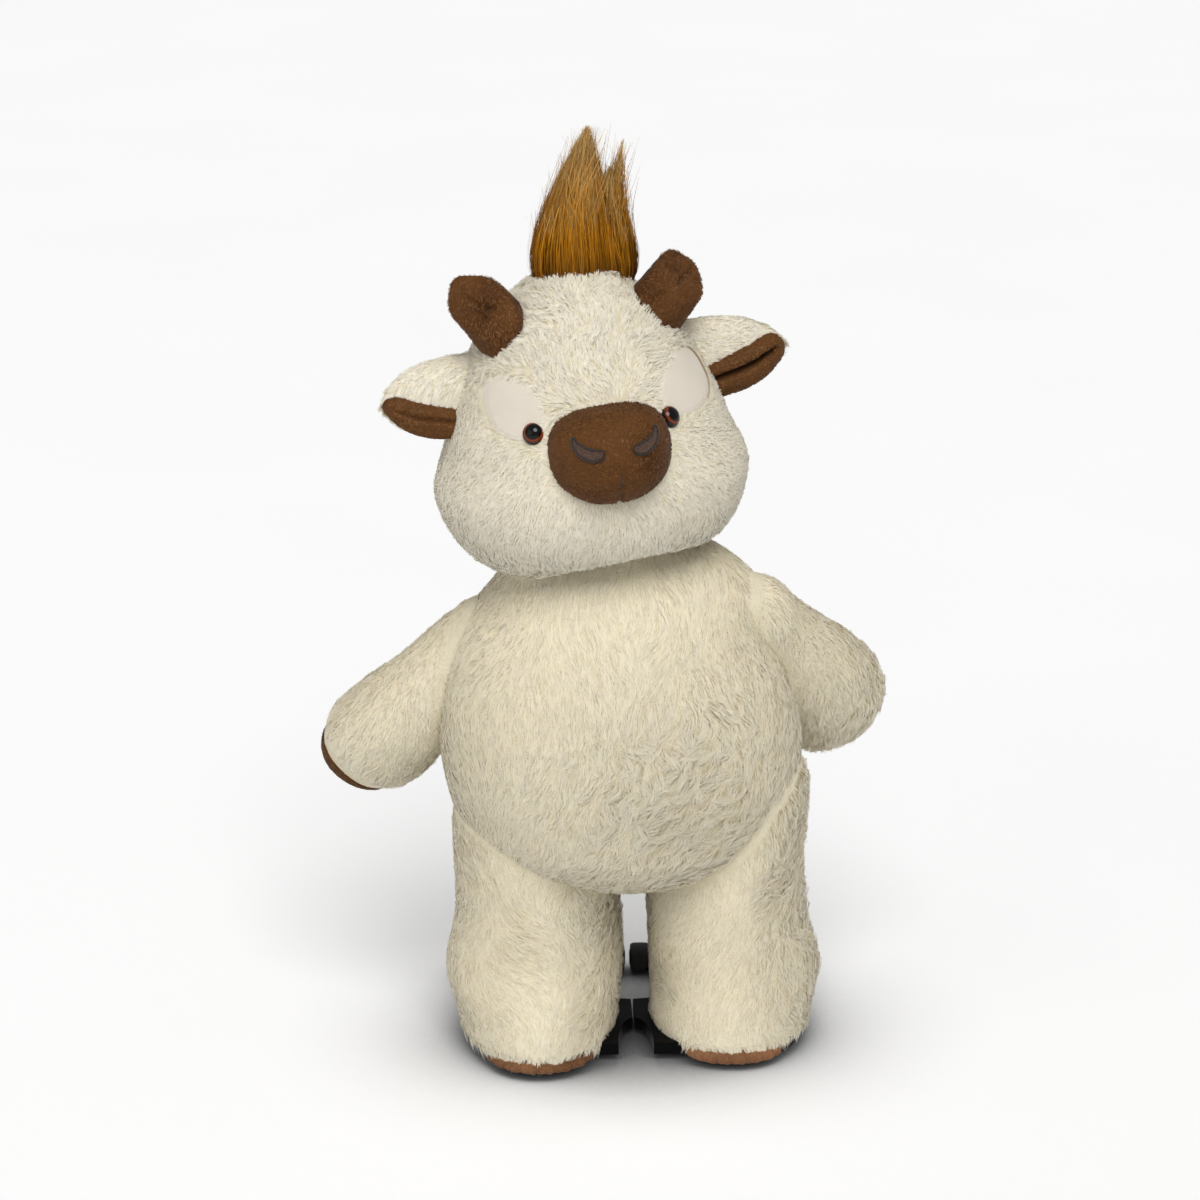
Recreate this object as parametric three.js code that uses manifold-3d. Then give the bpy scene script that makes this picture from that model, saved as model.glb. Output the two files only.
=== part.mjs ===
import * as THREE from 'three';
import * as BufferGeometryUtils from 'three/addons/utils/BufferGeometryUtils.js';
import Module from 'manifold-3d';

// A stuffed calf that walks on two legs. Millimetres, +Z up, facing -Y; its own left side is +X.
const wasm = await Module();
wasm.setup();

// Clearances, shared by every piece
const seamGap = 0.3;
const swingGap = 0.4;
const ankleGap = 0.6;
const overrun = 6;

// Facets: sides round a form and rings along it
const bodySides = 24;
const bodyRings = 11;
const limbSides = 18;
const limbRings = 8;
const smallSides = 12;
const roundSides = 16;
const rollerSides = 16;
const plateSegments = 6;
const coarseSides = 16;
const coarseRings = 8;

// Stance
const hipHeight = 152;
const ankleHeight = 24;
const legSpread = 62;
const hipSwingAngle = 10;

// Torso, an egg that swells low, set to one side of the legs and leaning over as it rises
const torsoDrop = 40;
const torso = { crown: 36, halfWidth: 112, front: 92, back: 80, widestShare: 0.37, fullnessShare: 0.5 };
const torsoAside = 6;
const torsoLean = 15;

// Head, an egg with full cheeks, rolled to one side and turned a little to the other
const neckAside = 21.2;
const neckRise = 34;
const headRollAngle = 6.2;
const headYawAngle = 9;
const headTurnAngle = 20;
const headSteps = 4;
const head = { height: 185, halfWidth: 96, front: 90, back: 84, widestShare: 0.34, fullnessShare: 0.45 };

// Muzzle, eyes and eye patches, in the head's own frame
const muzzle = { halfWidth: 38, halfHeight: 31, reach: 44, height: 88, sink: 70 };
const eyeRadius = 7;
const eyeSpread = 41;
const eyeHeight = 105;
const eyeStemRadius = 2;
const eyeStemLength = 14;
const patch = { halfWidth: 20, halfHeight: 18, spread: 54, height: 118, thickness: 1.4 };

// Horns and ears
const hornSplayAngle = 42;
const horn = { radius: 20, tipRadius: 16, length: 76, sink: 26, spread: 38, height: 147, forward: 18 };
const hornRound = 6;
const hornRings = 3;
const ear = { halfHeight: 24, halfDepth: 12, root: 54, height: 117, forward: 2 };
const earLengths = { left: 76, right: 70 };
const earSplit = 5;

// Hair tuft, one tall lock and one shorter beside it
const tuft = { height: 98, halfWidth: 31, depth: 19, place: 6, base: 174, lean: 16 };
const tuftSide = { height: 80, halfWidth: 17, depth: 13, place: 25, lean: 22 };
const lockWidestShare = 0.3;
const lockFullnessShare = 0.8;

// Arms, swelling towards the hand
const shoulderDrops = { left: 43, right: 53 };
const shoulderAside = 8;
const shoulderSpread = 84;
const shoulderBack = 4;
const armBall = 28;
const arm = { length: 142, wrist: 27, hand: 37, handPlace: 105 };
const armDropAngles = { left: 42.5, right: 43 };
const armBackAngles = { left: 48, right: 22 };
const armLiftAngle = 35;
const armLowerAngle = 6;
const armSteps = 6;
const padDepth = 11;

// Legs: a soft column over a soft domed foot
const leg = { halfWidth: 51, halfDepth: 58, sink: 4, rise: 56 };
const legRoundingShare = 0.25;
const legCollar = 14;
const footDome = { halfWidth: 48, radius: 53.5 };
const footWell = { halfWidth: 20, halfDepth: 24 };

// Leg frame, hip axle and hip bracket
const axleRadius = 3;
const axleReach = 77;
const bossRadius = 11;
const bossStart = 25;
const bossEnd = 74;
const shinRadius = 12;
const heelBossRadius = 8;
const heelBossHalf = 13;
const lever = { thickness: 4, halfWidth: 7, past: 17 };
const leverSlot = { below: 14, above: 12, width: 4.6 };
const hipTubeRadius = 7;
const hipTubeReach = 24.5;
const hipWeb = { halfThickness: 3, halfDepth: 18 };
const hipFlange = { halfWidth: 20, halfDepth: 30, thickness: 4 };

// Foot plate, ankle lugs, toe cap and rear rollers
const plateTop = 12;
const plateBottom = 4;
const plate = { inner: 0.7, outer: 104, front: -48, back: 102, corner: 22 };
const arch = { halfWidth: 11.5, depth: 40 };
const window = { halfWidth: 34, start: 21, end: 88 };
const rearBar = { front: 86, top: 15 };
const skid = { front: -40, back: 14, halfWidth: 30 };
const lugThickness = 5;
const lugRadius = 7.5;
const anklePinRadius = 2.5;
const toeCap = { halfWidth: 45, bottom: 0.8, top: 12 };
const toeReaches = { left: 68, right: 80 };
const roller = { radius: 10, halfWidth: 7, tread: 2, place: 95, innerAt: 8.5, outerAt: 98 };
const rollerRings = 2;
const rollerAxleRadius = 2;

// Gearbox housing
const housing = { halfWidth: 46, halfDepth: 36, floorRoom: 29, headroom: 18.4, wall: 2.5 };
const leverWindow = { halfDepth: 15, width: 9 };
const sidePlate = { inner: 14, thickness: 2.5 };

// Gears: the crank wheel, the idler above it and the motor pinion above that
const gearModule = 1;
const dedendumShare = 1.25;
const halfToothShare = 0.5;
const crankTeeth = 48;
const idlerTeeth = 36;
const pinionTeeth = 12;
const meshGap = 0.3;
const crankRise = 53;
const slowGear = { start: -9, end: -3 };
const fastGear = { start: 1, end: 5 };
const crankShaftRadius = 3;
const idlerShaftRadius = 2;
const crankDisc = { radius: 12, thickness: 3, throwRadius: 8, pinRadius: 2, pinLength: 4.4 };
const motor = { radius: 12, length: 26, shaftRadius: 1.2, shaftGrip: 6 };

// Batteries, their holder, cover and switch
const cell = { radius: 7.1, length: 50.5, pitch: 15.2 };
const cellCount = 4;
const holder = { wall: 2, depth: 18.7, endRoom: 3.5, rise: 44 };
const coverThickness = 2.5;
const switchBox = { halfWidth: 14, height: 10, depth: 14 };
const slider = { halfWidth: 3, halfHeight: 1.8, travel: 4, reach: 3, sink: 8 };
const flapMargin = 5;

// Neck post and its socket
const neckPostRadius = 11;
const neckPostReach = 30;
const socketWall = 4.6;
const socketStart = 3;
const socketRoof = 5;

// Heights that stack up from the hips: gear train, housing, neck and torso
const crankHeight = hipHeight + crankRise;
const idlerHeight = crankHeight + (gearModule * (crankTeeth + pinionTeeth)) / 2 + meshGap;
const motorHeight = idlerHeight + (gearModule * (idlerTeeth + pinionTeeth)) / 2 + meshGap;
const housingBottom = crankHeight - housing.floorRoom;
const housingTop = motorHeight + motor.radius + housing.headroom;
const leverTop = crankHeight + lever.past;
const holderBottom = hipHeight + holder.rise;
const legTop = hipHeight + leg.rise;
const torsoBottom = hipHeight - torsoDrop;
const neckPoint = new THREE.Vector3(-neckAside, 0, housingTop + neckRise);
const torsoHeight = neckPoint.z + torso.crown - torsoBottom;

const sides = { left: 1, right: -1 };
const xAxis = new THREE.Vector3(1, 0, 0);
const yAxis = new THREE.Vector3(0, 1, 0);
const zAxis = new THREE.Vector3(0, 0, 1);

// Solids: every shape below is a closed BufferGeometry, joined and cut through these helpers
function closed(geometry) {
  const bare = geometry.clone();
  bare.deleteAttribute('normal');
  bare.deleteAttribute('uv');
  const merged = BufferGeometryUtils.mergeVertices(bare);
  const index = merged.index.array;
  const faces = [];
  for (let i = 0; i < index.length; i += 3) {
    const [a, b, c] = [index[i], index[i + 1], index[i + 2]];
    if (a !== b && b !== c && c !== a) faces.push([a, b, c]);
  }
  const points = merged.attributes.position;
  const corner = (i) => new THREE.Vector3().fromBufferAttribute(points, i);
  let volume = 0;
  for (const [a, b, c] of faces) volume += corner(a).dot(corner(b).cross(corner(c)));
  const triangles = faces.map(([a, b, c]) => (volume < 0 ? [a, c, b] : [a, b, c]));
  return new wasm.Manifold(new wasm.Mesh({
    numProp: 3,
    vertProperties: new Float32Array(points.array),
    triVerts: new Uint32Array(triangles.flat()),
  }));
}

function surface(manifold) {
  const { vertProperties, triVerts } = manifold.getMesh();
  const geometry = new THREE.BufferGeometry();
  geometry.setAttribute('position', new THREE.BufferAttribute(new Float32Array(vertProperties), 3));
  geometry.setIndex(new THREE.BufferAttribute(new Uint32Array(triVerts), 1));
  return geometry;
}

function join(first, ...others) {
  return surface(others.reduce((whole, piece) => whole.add(closed(piece)), closed(first)));
}

function cut(piece, ...tools) {
  return surface(tools.reduce((rest, tool) => rest.subtract(closed(tool)), closed(piece)));
}

function common(piece, other) {
  return surface(closed(piece).intersect(closed(other)));
}

function placed(geometry, matrix) {
  return geometry.clone().applyMatrix4(matrix);
}

function mirrored(geometry, side) {
  return surface(closed(geometry.clone().scale(side, 1, 1)));
}

function turnAbout(point, axis, angle) {
  const there = new THREE.Matrix4().makeTranslation(point);
  const turn = new THREE.Matrix4().makeRotationAxis(axis, THREE.MathUtils.degToRad(angle));
  const back = new THREE.Matrix4().makeTranslation(point.clone().negate());
  return there.multiply(turn).multiply(back);
}

// Copies of a piece at even steps of a swing, for cutting its room into a neighbour
function swept(geometry, point, axis, low, high, steps) {
  const copies = [];
  for (let step = 0; step <= steps; step += 1) {
    const angle = low + ((high - low) * step) / steps;
    copies.push(placed(geometry, turnAbout(point, axis, angle)));
  }
  return copies;
}

function block(low, high) {
  const size = high.map((value, i) => value - low[i]);
  const middle = high.map((value, i) => (value + low[i]) / 2);
  return new THREE.BoxGeometry(...size).translate(...middle);
}

function turned(profile, count) {
  const points = profile.map(([radius, height]) => new THREE.Vector2(radius, height));
  return new THREE.LatheGeometry(points, count).rotateX(Math.PI / 2);
}

// A round bar along X, with a flat of its facets facing down
function rodX(radius, start, end, y, z, count = roundSides) {
  const bar = new THREE.CylinderGeometry(radius, radius, end - start, count);
  bar.rotateY(Math.PI / count).rotateZ(Math.PI / 2);
  return bar.translate((start + end) / 2, y, z);
}

function rodZ(radius, x, y, low, high, count = roundSides) {
  const bar = new THREE.CylinderGeometry(radius, radius, high - low, count).rotateX(Math.PI / 2);
  return bar.translate(x, y, (low + high) / 2);
}

function ellipseZ(halfWidth, halfDepth, x, low, high, count = limbSides) {
  const disc = new THREE.CylinderGeometry(1, 1, high - low, count).rotateX(Math.PI / 2);
  return disc.scale(halfWidth, halfDepth, 1).translate(x, 0, (low + high) / 2);
}

// An egg on z = 0: its radius is the sine of pi times the height share raised to a bend, which puts
// the widest ring at widestShare; a fullnessShare below 1 fattens it; front and back have their own depth
function egg(form, rings, count, grow = 0) {
  const bend = Math.log(0.5) / Math.log(form.widestShare);
  const profile = [[0, 0]];
  for (let ring = 1; ring < rings; ring += 1) {
    const share = (1 - Math.cos((Math.PI * ring) / rings)) / 2;
    profile.push([Math.sin(Math.PI * share ** bend) ** form.fullnessShare, share]);
  }
  profile.push([0, 1]);
  return stretched(turned(profile, count), form, form.height, grow);
}

// Gives a unit form its width, its depth in front and behind, and its height
function stretched(geometry, form, height, grow = 0) {
  const points = geometry.attributes.position;
  for (let i = 0; i < points.count; i += 1) {
    const depth = points.getY(i) < 0 ? form.front : form.back;
    points.setX(i, points.getX(i) * (form.halfWidth + grow));
    points.setY(i, points.getY(i) * (depth + grow));
    points.setZ(i, points.getZ(i) * (height + 2 * grow) - grow);
  }
  return geometry;
}

// Shears a form sideways, by the full amount at the given height and by its square below that
function leaned(geometry, amount, height) {
  const points = geometry.attributes.position;
  for (let i = 0; i < points.count; i += 1) {
    const rise = Math.max(points.getZ(i), 0) / height;
    points.setX(i, points.getX(i) + amount * rise * rise);
  }
  return geometry;
}

function finish(colour, roughness, metalness = 0) {
  return new THREE.MeshStandardMaterial({ color: colour, roughness, metalness, flatShading: true });
}

const finishes = {
  cream: () => finish(0xeae3cc, 0.95),
  brown: () => finish(0x6b4a35, 0.9),
  patch: () => finish(0xf1e7de, 0.9),
  hair: () => finish(0xb47712, 0.6),
  eye: () => finish(0x4a2410, 0.1),
  black: () => finish(0x121418, 0.5),
  grey: () => finish(0x8c9094, 0.55),
  gear: () => finish(0xe6e2d8, 0.5),
  steel: () => finish(0xb8bcc0, 0.35, 1),
  cell: () => finish(0x3c6f4a, 0.4),
};

function piece(name, geometry, material) {
  const mesh = new THREE.Mesh(surface(closed(geometry)).toNonIndexed(), material);
  mesh.geometry.computeVertexNormals();
  mesh.name = name;
  return mesh;
}

// Places of the head and of each arm
function headPlace() {
  const place = new THREE.Matrix4().makeTranslation(neckPoint);
  place.multiply(new THREE.Matrix4().makeRotationY(THREE.MathUtils.degToRad(-headRollAngle)));
  return place.multiply(new THREE.Matrix4().makeRotationZ(THREE.MathUtils.degToRad(headYawAngle)));
}

// The arm's own frame has +Z along the arm, and its hinge along its own Y
function armPlace(name) {
  const side = sides[name];
  const back = THREE.MathUtils.degToRad(armBackAngles[name]) * side;
  const down = THREE.MathUtils.degToRad(90 + armDropAngles[name]) * side;
  const across = shoulderSpread * side - shoulderAside;
  const place = new THREE.Matrix4().makeTranslation(across, shoulderBack, neckPoint.z - shoulderDrops[name]);
  place.multiply(new THREE.Matrix4().makeRotationZ(back));
  return place.multiply(new THREE.Matrix4().makeRotationY(down));
}

const origin = new THREE.Vector3(0, 0, 0);
const hipPoint = new THREE.Vector3(0, 0, hipHeight);

// Outer forms that cut each other
function torsoForm(grow = 0, rings = bodyRings, count = bodySides) {
  const form = egg({ ...torso, height: torsoHeight }, rings, count, grow);
  return leaned(form, -torsoLean, neckPoint.z - torsoBottom).translate(-torsoAside, 0, torsoBottom);
}

function headForm(grow = 0, rings = bodyRings, count = bodySides) {
  return egg(head, rings, count, grow);
}

// Room for the leg's collar as it swings: a drum about the hip axle that holds the collar's rim at
// every angle, cut off at the height the rim reaches
function hipRoomForm() {
  const collar = legCollar + swingGap;
  const profile = [[0, -leg.halfWidth - swingGap]];
  for (let ring = 0; ring <= bodyRings; ring += 1) {
    const angle = (Math.PI * ring) / bodyRings;
    const depth = (leg.halfDepth + swingGap) * Math.sin(angle);
    const radius = Math.hypot(depth, collar) / Math.cos(Math.PI / bodySides);
    profile.push([radius, -(leg.halfWidth + swingGap) * Math.cos(angle)]);
  }
  profile.push([0, leg.halfWidth + swingGap]);
  const drum = turned(profile, bodySides).rotateY(Math.PI / 2).translate(legSpread, 0, hipHeight);
  const rim = Math.atan2(collar, leg.halfDepth) + THREE.MathUtils.degToRad(hipSwingAngle);
  const top = hipHeight + Math.hypot(leg.halfDepth, collar) * Math.sin(rim) + swingGap;
  const reach = leg.halfWidth + leg.halfDepth;
  return cut(drum, block([legSpread - reach, -reach, top], [legSpread + reach, reach, legTop + reach]));
}

// How far a coarse ring of facets must grow to hold the fine form inside it
function chordGap(radius) {
  return radius * (1 - Math.cos(Math.PI / coarseSides));
}

// The leg is a column whose radius share is a superellipse of the height share
function legForm(grow = 0) {
  const height = legTop + leg.sink;
  const profile = [[0, 0]];
  for (let ring = 1; ring < limbRings; ring += 1) {
    const share = (1 - Math.cos((Math.PI * ring) / limbRings)) / 2;
    const radius = (1 - Math.abs(2 * share - 1) ** (1 / legRoundingShare)) ** legRoundingShare;
    profile.push([radius, share]);
  }
  profile.push([0, 1]);
  const form = { halfWidth: leg.halfWidth, front: leg.halfDepth, back: leg.halfDepth };
  const column = stretched(turned(profile, limbSides), form, height, grow);
  column.translate(legSpread, 0, -leg.sink);
  const reach = leg.halfWidth + leg.halfDepth;
  const top = hipHeight + legCollar + grow;
  return cut(column, block([legSpread - reach, -reach, top], [legSpread + reach, reach, top + legTop]));
}

function armBallForm(grow = 0) {
  return new THREE.SphereGeometry(armBall + grow, limbSides, smallSides);
}

function armTaper() {
  const steps = limbRings;
  const profile = [[0, 0]];
  for (let step = 0; step < steps; step += 1) {
    const share = step / steps;
    const along = Math.sin((share * Math.PI) / 2);
    const middle = arm.length * along;
    const swell = THREE.MathUtils.smoothstep(middle, 0, arm.handPlace);
    const radius = arm.wrist + (arm.hand - arm.wrist) * swell;
    const past = Math.max(middle - arm.handPlace, 0) / (arm.length - arm.handPlace);
    profile.push([radius * Math.sqrt(1 - past * past), middle]);
  }
  profile.push([0, arm.length]);
  return turned(profile, limbSides);
}

// Torso cover and the flap over the batteries
const holderHalfWidth = (cell.pitch * cellCount) / 2 + holder.wall;
const holderHeight = cell.length + holder.endRoom + 2 * holder.wall;
const holderFront = housing.halfDepth + seamGap;
const holderBack = holderFront + holder.depth;
const coverBack = holderBack + seamGap + coverThickness;
const flapBottom = holderBottom - seamGap - switchBox.height - flapMargin;
const flapTop = holderBottom + holderHeight + flapMargin;

function flapRoom(grow = 0) {
  const half = holderHalfWidth + flapMargin + grow;
  const low = [-half, coverBack + swingGap + slider.reach - grow, flapBottom - grow];
  return block(low, [half, torso.back + overrun, flapTop + grow]);
}

function torsoRooms() {
  const wide = housing.halfWidth + seamGap;
  const deep = housing.halfDepth + seamGap;
  const flangeBottom = housingBottom - 2 * seamGap - hipFlange.thickness;
  const roomHalf = holderHalfWidth + seamGap;
  return [
    block([-wide, -deep, flangeBottom], [wide, deep, housingTop + seamGap]),
    block([-roomHalf, 0, flapBottom], [roomHalf, coverBack + swingGap + slider.reach, flapTop]),
    block([-legSpread, -deep, torsoBottom], [legSpread, deep, flangeBottom + overrun]),
  ];
}

function torsoPieces() {
  const hips = [];
  for (const side of Object.values(sides)) {
    const form = mirrored(legForm(swingGap), side);
    hips.push(...swept(form, hipPoint, xAxis, -hipSwingAngle, hipSwingAngle, 1));
    hips.push(mirrored(hipRoomForm(), side));
  }
  const coarseHead = headForm(swingGap + chordGap(head.halfWidth), bodyRings, coarseSides);
  const headTurns = [-headTurnAngle - headYawAngle, headTurnAngle - headYawAngle];
  const headCuts = swept(coarseHead, origin, zAxis, ...headTurns, headSteps)
    .map((form) => placed(form, headPlace()));
  const socketRoom = swingGap + chordGap(armBall);
  const balls = Object.keys(sides).map((name) => placed(armBallForm(socketRoom), armPlace(name)));
  const post = placed(neckPostForm(seamGap), headPlace());
  const cover = cut(torsoForm(), ...torsoRooms(), ...hips, ...headCuts, ...balls, post, flapRoom(seamGap));
  const flap = common(torsoForm(), flapRoom());
  return [
    piece('torso_plush', cover, finishes.cream()),
    piece('back_flap', flap, finishes.cream()),
  ];
}

// Housing halves, side plates and hip bracket
function housingShell(facing) {
  const { halfWidth, halfDepth, wall } = housing;
  const [bottom, top] = [housingBottom, housingTop];
  const half = seamGap / 2;
  const outerLow = [-halfWidth, facing > 0 ? half : -halfDepth, bottom];
  const outerHigh = [halfWidth, facing > 0 ? halfDepth : -half, top];
  const innerDeep = halfDepth - wall;
  const innerLow = [wall - halfWidth, facing > 0 ? -overrun : -innerDeep, bottom + wall];
  const innerHigh = [halfWidth - wall, facing > 0 ? innerDeep : overrun, top - wall];
  const windows = Object.values(sides).map((side) => {
    const middle = (bossStart + lever.thickness / 2) * side;
    const low = [middle - leverWindow.width / 2, -leverWindow.halfDepth, bottom - overrun];
    return block(low, [middle + leverWindow.width / 2, leverWindow.halfDepth, bottom + overrun]);
  });
  return cut(block(outerLow, outerHigh), block(innerLow, innerHigh), ...windows);
}

function sidePlateForm(side) {
  const { inner, thickness } = sidePlate;
  const deep = housing.halfDepth - housing.wall - seamGap;
  const low = [inner, -deep, housingBottom + housing.wall + seamGap];
  const plate = block(low, [inner + thickness, deep, housingTop - housing.wall - seamGap]);
  const ends = [inner - overrun, inner + thickness + overrun];
  const holes = [
    rodX(crankShaftRadius + swingGap, ...ends, 0, crankHeight),
    rodX(idlerShaftRadius + swingGap, ...ends, 0, idlerHeight),
  ];
  if (side > 0) holes.push(rodX(motor.shaftRadius + 2 * swingGap, ...ends, 0, motorHeight));
  return mirrored(cut(plate, ...holes), side);
}

function hipBracketForm() {
  const top = housingBottom - seamGap;
  const { halfWidth, halfDepth, thickness } = hipFlange;
  const flange = block([-halfWidth, -halfDepth, top - thickness], [halfWidth, halfDepth, top]);
  const web = block(
    [-hipWeb.halfThickness, -hipWeb.halfDepth, hipHeight],
    [hipWeb.halfThickness, hipWeb.halfDepth, top - thickness / 2],
  );
  const tube = rodX(hipTubeRadius, -hipTubeReach, hipTubeReach, 0, hipHeight);
  const bore = rodX(axleRadius + seamGap, -axleReach, axleReach, 0, hipHeight);
  return cut(join(flange, web, tube), bore);
}

function neckPostForm(grow = 0) {
  const length = neckPoint.z - housingTop;
  return rodZ(neckPostRadius + grow, 0, 0, -length - overrun, neckPostReach);
}

// The neck post leans with the head and is cut level where it stands on the housing
function neckPost() {
  const room = neckPostRadius + housing.halfWidth;
  const floor = housingTop + seamGap;
  const below = block([-room, -room, 0], [room, room, floor]);
  return cut(placed(neckPostForm(), headPlace()), below);
}

function framePieces() {
  const axle = rodX(axleRadius, -axleReach, axleReach, 0, hipHeight);
  return [
    piece('housing_front', housingShell(-1), finishes.grey()),
    piece('housing_back', housingShell(1), finishes.grey()),
    piece('side_plate_left', sidePlateForm(sides.left), finishes.grey()),
    piece('side_plate_right', sidePlateForm(sides.right), finishes.grey()),
    piece('hip_bracket', hipBracketForm(), finishes.grey()),
    piece('hip_axle', axle, finishes.steel()),
    piece('neck_post', neckPost(), finishes.grey()),
  ];
}

// Gears have straight-sided teeth; their outline lies across X, and angle 0 points down
function gear(teeth, range, y, z, phaseShare) {
  const pitch = (gearModule * teeth) / 2;
  const tip = pitch + gearModule;
  const root = pitch - dedendumShare * gearModule;
  const toothShares = [[-0.29, root], [-0.13, tip], [0.13, tip], [0.29, root]];
  const outline = new THREE.Shape();
  for (let tooth = 0; tooth < teeth; tooth += 1) {
    for (const [share, radius] of toothShares) {
      const angle = ((tooth + share + phaseShare) * 2 * Math.PI) / teeth;
      const point = [radius * Math.cos(angle), radius * Math.sin(angle)];
      if (outline.curves.length === 0 && outline.currentPoint.lengthSq() === 0) outline.moveTo(...point);
      else outline.lineTo(...point);
    }
  }
  outline.closePath();
  const wheel = new THREE.ExtrudeGeometry(outline, { depth: range.end - range.start, bevelEnabled: false });
  return wheel.rotateY(Math.PI / 2).translate(range.start, y, z);
}

function crankDiscForm(side) {
  const start = sidePlate.inner + sidePlate.thickness + swingGap;
  const end = start + crankDisc.thickness;
  const disc = rodX(crankDisc.radius, start, end, 0, crankHeight);
  const place = crankHeight - crankDisc.throwRadius * side;
  const pin = rodX(crankDisc.pinRadius, end - crankDisc.thickness / 2, end + crankDisc.pinLength, 0, place);
  const bore = rodX(crankShaftRadius + seamGap, start - overrun, end + overrun, 0, crankHeight);
  return mirrored(cut(join(disc, pin), bore), side);
}

function drivePieces() {
  const shaftEnd = sidePlate.inner + sidePlate.thickness + swingGap + crankDisc.thickness;
  const crankShaft = rodX(crankShaftRadius, -shaftEnd, shaftEnd, 0, crankHeight);
  const crankWheel = join(gear(crankTeeth, slowGear, 0, crankHeight, 0), crankShaft);
  const idlerEnd = sidePlate.inner + sidePlate.thickness;
  const idlerShaft = rodX(idlerShaftRadius, -idlerEnd, idlerEnd, 0, idlerHeight);
  const idlerHub = rodX(2 * idlerShaftRadius, slowGear.start, fastGear.end, 0, idlerHeight);
  const idler = join(
    gear(pinionTeeth, slowGear, 0, idlerHeight, halfToothShare),
    gear(idlerTeeth, fastGear, 0, idlerHeight, 0),
    idlerHub,
    idlerShaft,
  );
  const motorStart = sidePlate.inner + sidePlate.thickness + seamGap;
  const shaftTip = motorStart + motor.shaftGrip;
  const motorShaft = rodX(motor.shaftRadius, fastGear.start, shaftTip, 0, motorHeight);
  const pinion = join(gear(pinionTeeth, fastGear, 0, motorHeight, halfToothShare), motorShaft);
  const motorBody = cut(
    rodX(motor.radius, motorStart, motorStart + motor.length, 0, motorHeight),
    rodX(motor.shaftRadius + swingGap, 0, shaftTip + swingGap, 0, motorHeight),
  );
  return [
    piece('crank_gear', crankWheel, finishes.gear()),
    piece('crank_disc_left', crankDiscForm(sides.left), finishes.gear()),
    piece('crank_disc_right', crankDiscForm(sides.right), finishes.gear()),
    piece('idler_gear', idler, finishes.gear()),
    piece('motor_pinion', pinion, finishes.gear()),
    piece('motor', motorBody, finishes.steel()),
  ];
}

function batteryPieces() {
  const { wall } = holder;
  const [bottom, top] = [holderBottom, holderBottom + holderHeight];
  const half = holderHalfWidth;
  const tray = block([-half, holderFront, bottom], [half, holderBack, top]);
  const room = block(
    [wall - half, holderFront + wall, bottom + wall],
    [half - wall, holderBack + overrun, top - wall],
  );
  const boxTop = bottom + wall / 2;
  const switchLow = [-switchBox.halfWidth, holderFront, bottom - switchBox.height];
  const switchBody = block(switchLow, [switchBox.halfWidth, holderFront + switchBox.depth, boxTop]);
  const slotMiddle = bottom - switchBox.height / 2;
  const slotBack = holderFront + switchBox.depth;
  const slotHalf = slider.halfWidth + slider.travel / 2 + seamGap;
  const slotHigh = slider.halfHeight + seamGap;
  const slot = block(
    [-slotHalf, slotBack - slider.sink - seamGap, slotMiddle - slotHigh],
    [slotHalf, slotBack + overrun, slotMiddle + slotHigh],
  );
  const knobMiddle = -slider.travel / 2;
  const knob = block(
    [knobMiddle - slider.halfWidth, slotBack - slider.sink, slotMiddle - slider.halfHeight],
    [knobMiddle + slider.halfWidth, slotBack + slider.reach, slotMiddle + slider.halfHeight],
  );
  const coverLow = [-half, holderBack + seamGap, bottom];
  const pieces = [
    piece('battery_holder', cut(join(tray, switchBody), room, slot), finishes.black()),
    piece('battery_cover', block(coverLow, [half, coverBack, top]), finishes.black()),
    piece('switch_slider', knob, finishes.black()),
  ];
  for (let i = 0; i < cellCount; i += 1) {
    const x = (i - (cellCount - 1) / 2) * cell.pitch;
    const y = holderFront + wall + seamGap + cell.radius;
    const low = bottom + wall + seamGap;
    const body = rodZ(cell.radius, x, y, low, low + cell.length);
    pieces.push(piece(`battery_cell_${i + 1}`, body, finishes.cell()));
  }
  return pieces;
}

// One leg, modelled on the left side and mirrored for the right
function legFrameForm(grow = 0) {
  const boss = rodX(bossRadius + grow, bossStart - grow, bossEnd + grow, 0, hipHeight);
  const bar = block(
    [bossStart - grow, -lever.halfWidth - grow, hipHeight],
    [bossStart + lever.thickness + grow, lever.halfWidth + grow, leverTop + grow],
  );
  const shin = rodZ(shinRadius + grow, legSpread, 0, ankleHeight, hipHeight);
  const inner = legSpread - heelBossHalf - grow;
  const heel = rodX(heelBossRadius + grow, inner, legSpread + heelBossHalf + grow, 0, ankleHeight);
  const below = block(
    [legSpread - shinRadius - overrun, -shinRadius - overrun, 0],
    [legSpread + shinRadius + overrun, shinRadius + overrun, ankleHeight],
  );
  return join(cut(join(boss, bar, shin), below), heel);
}

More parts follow.
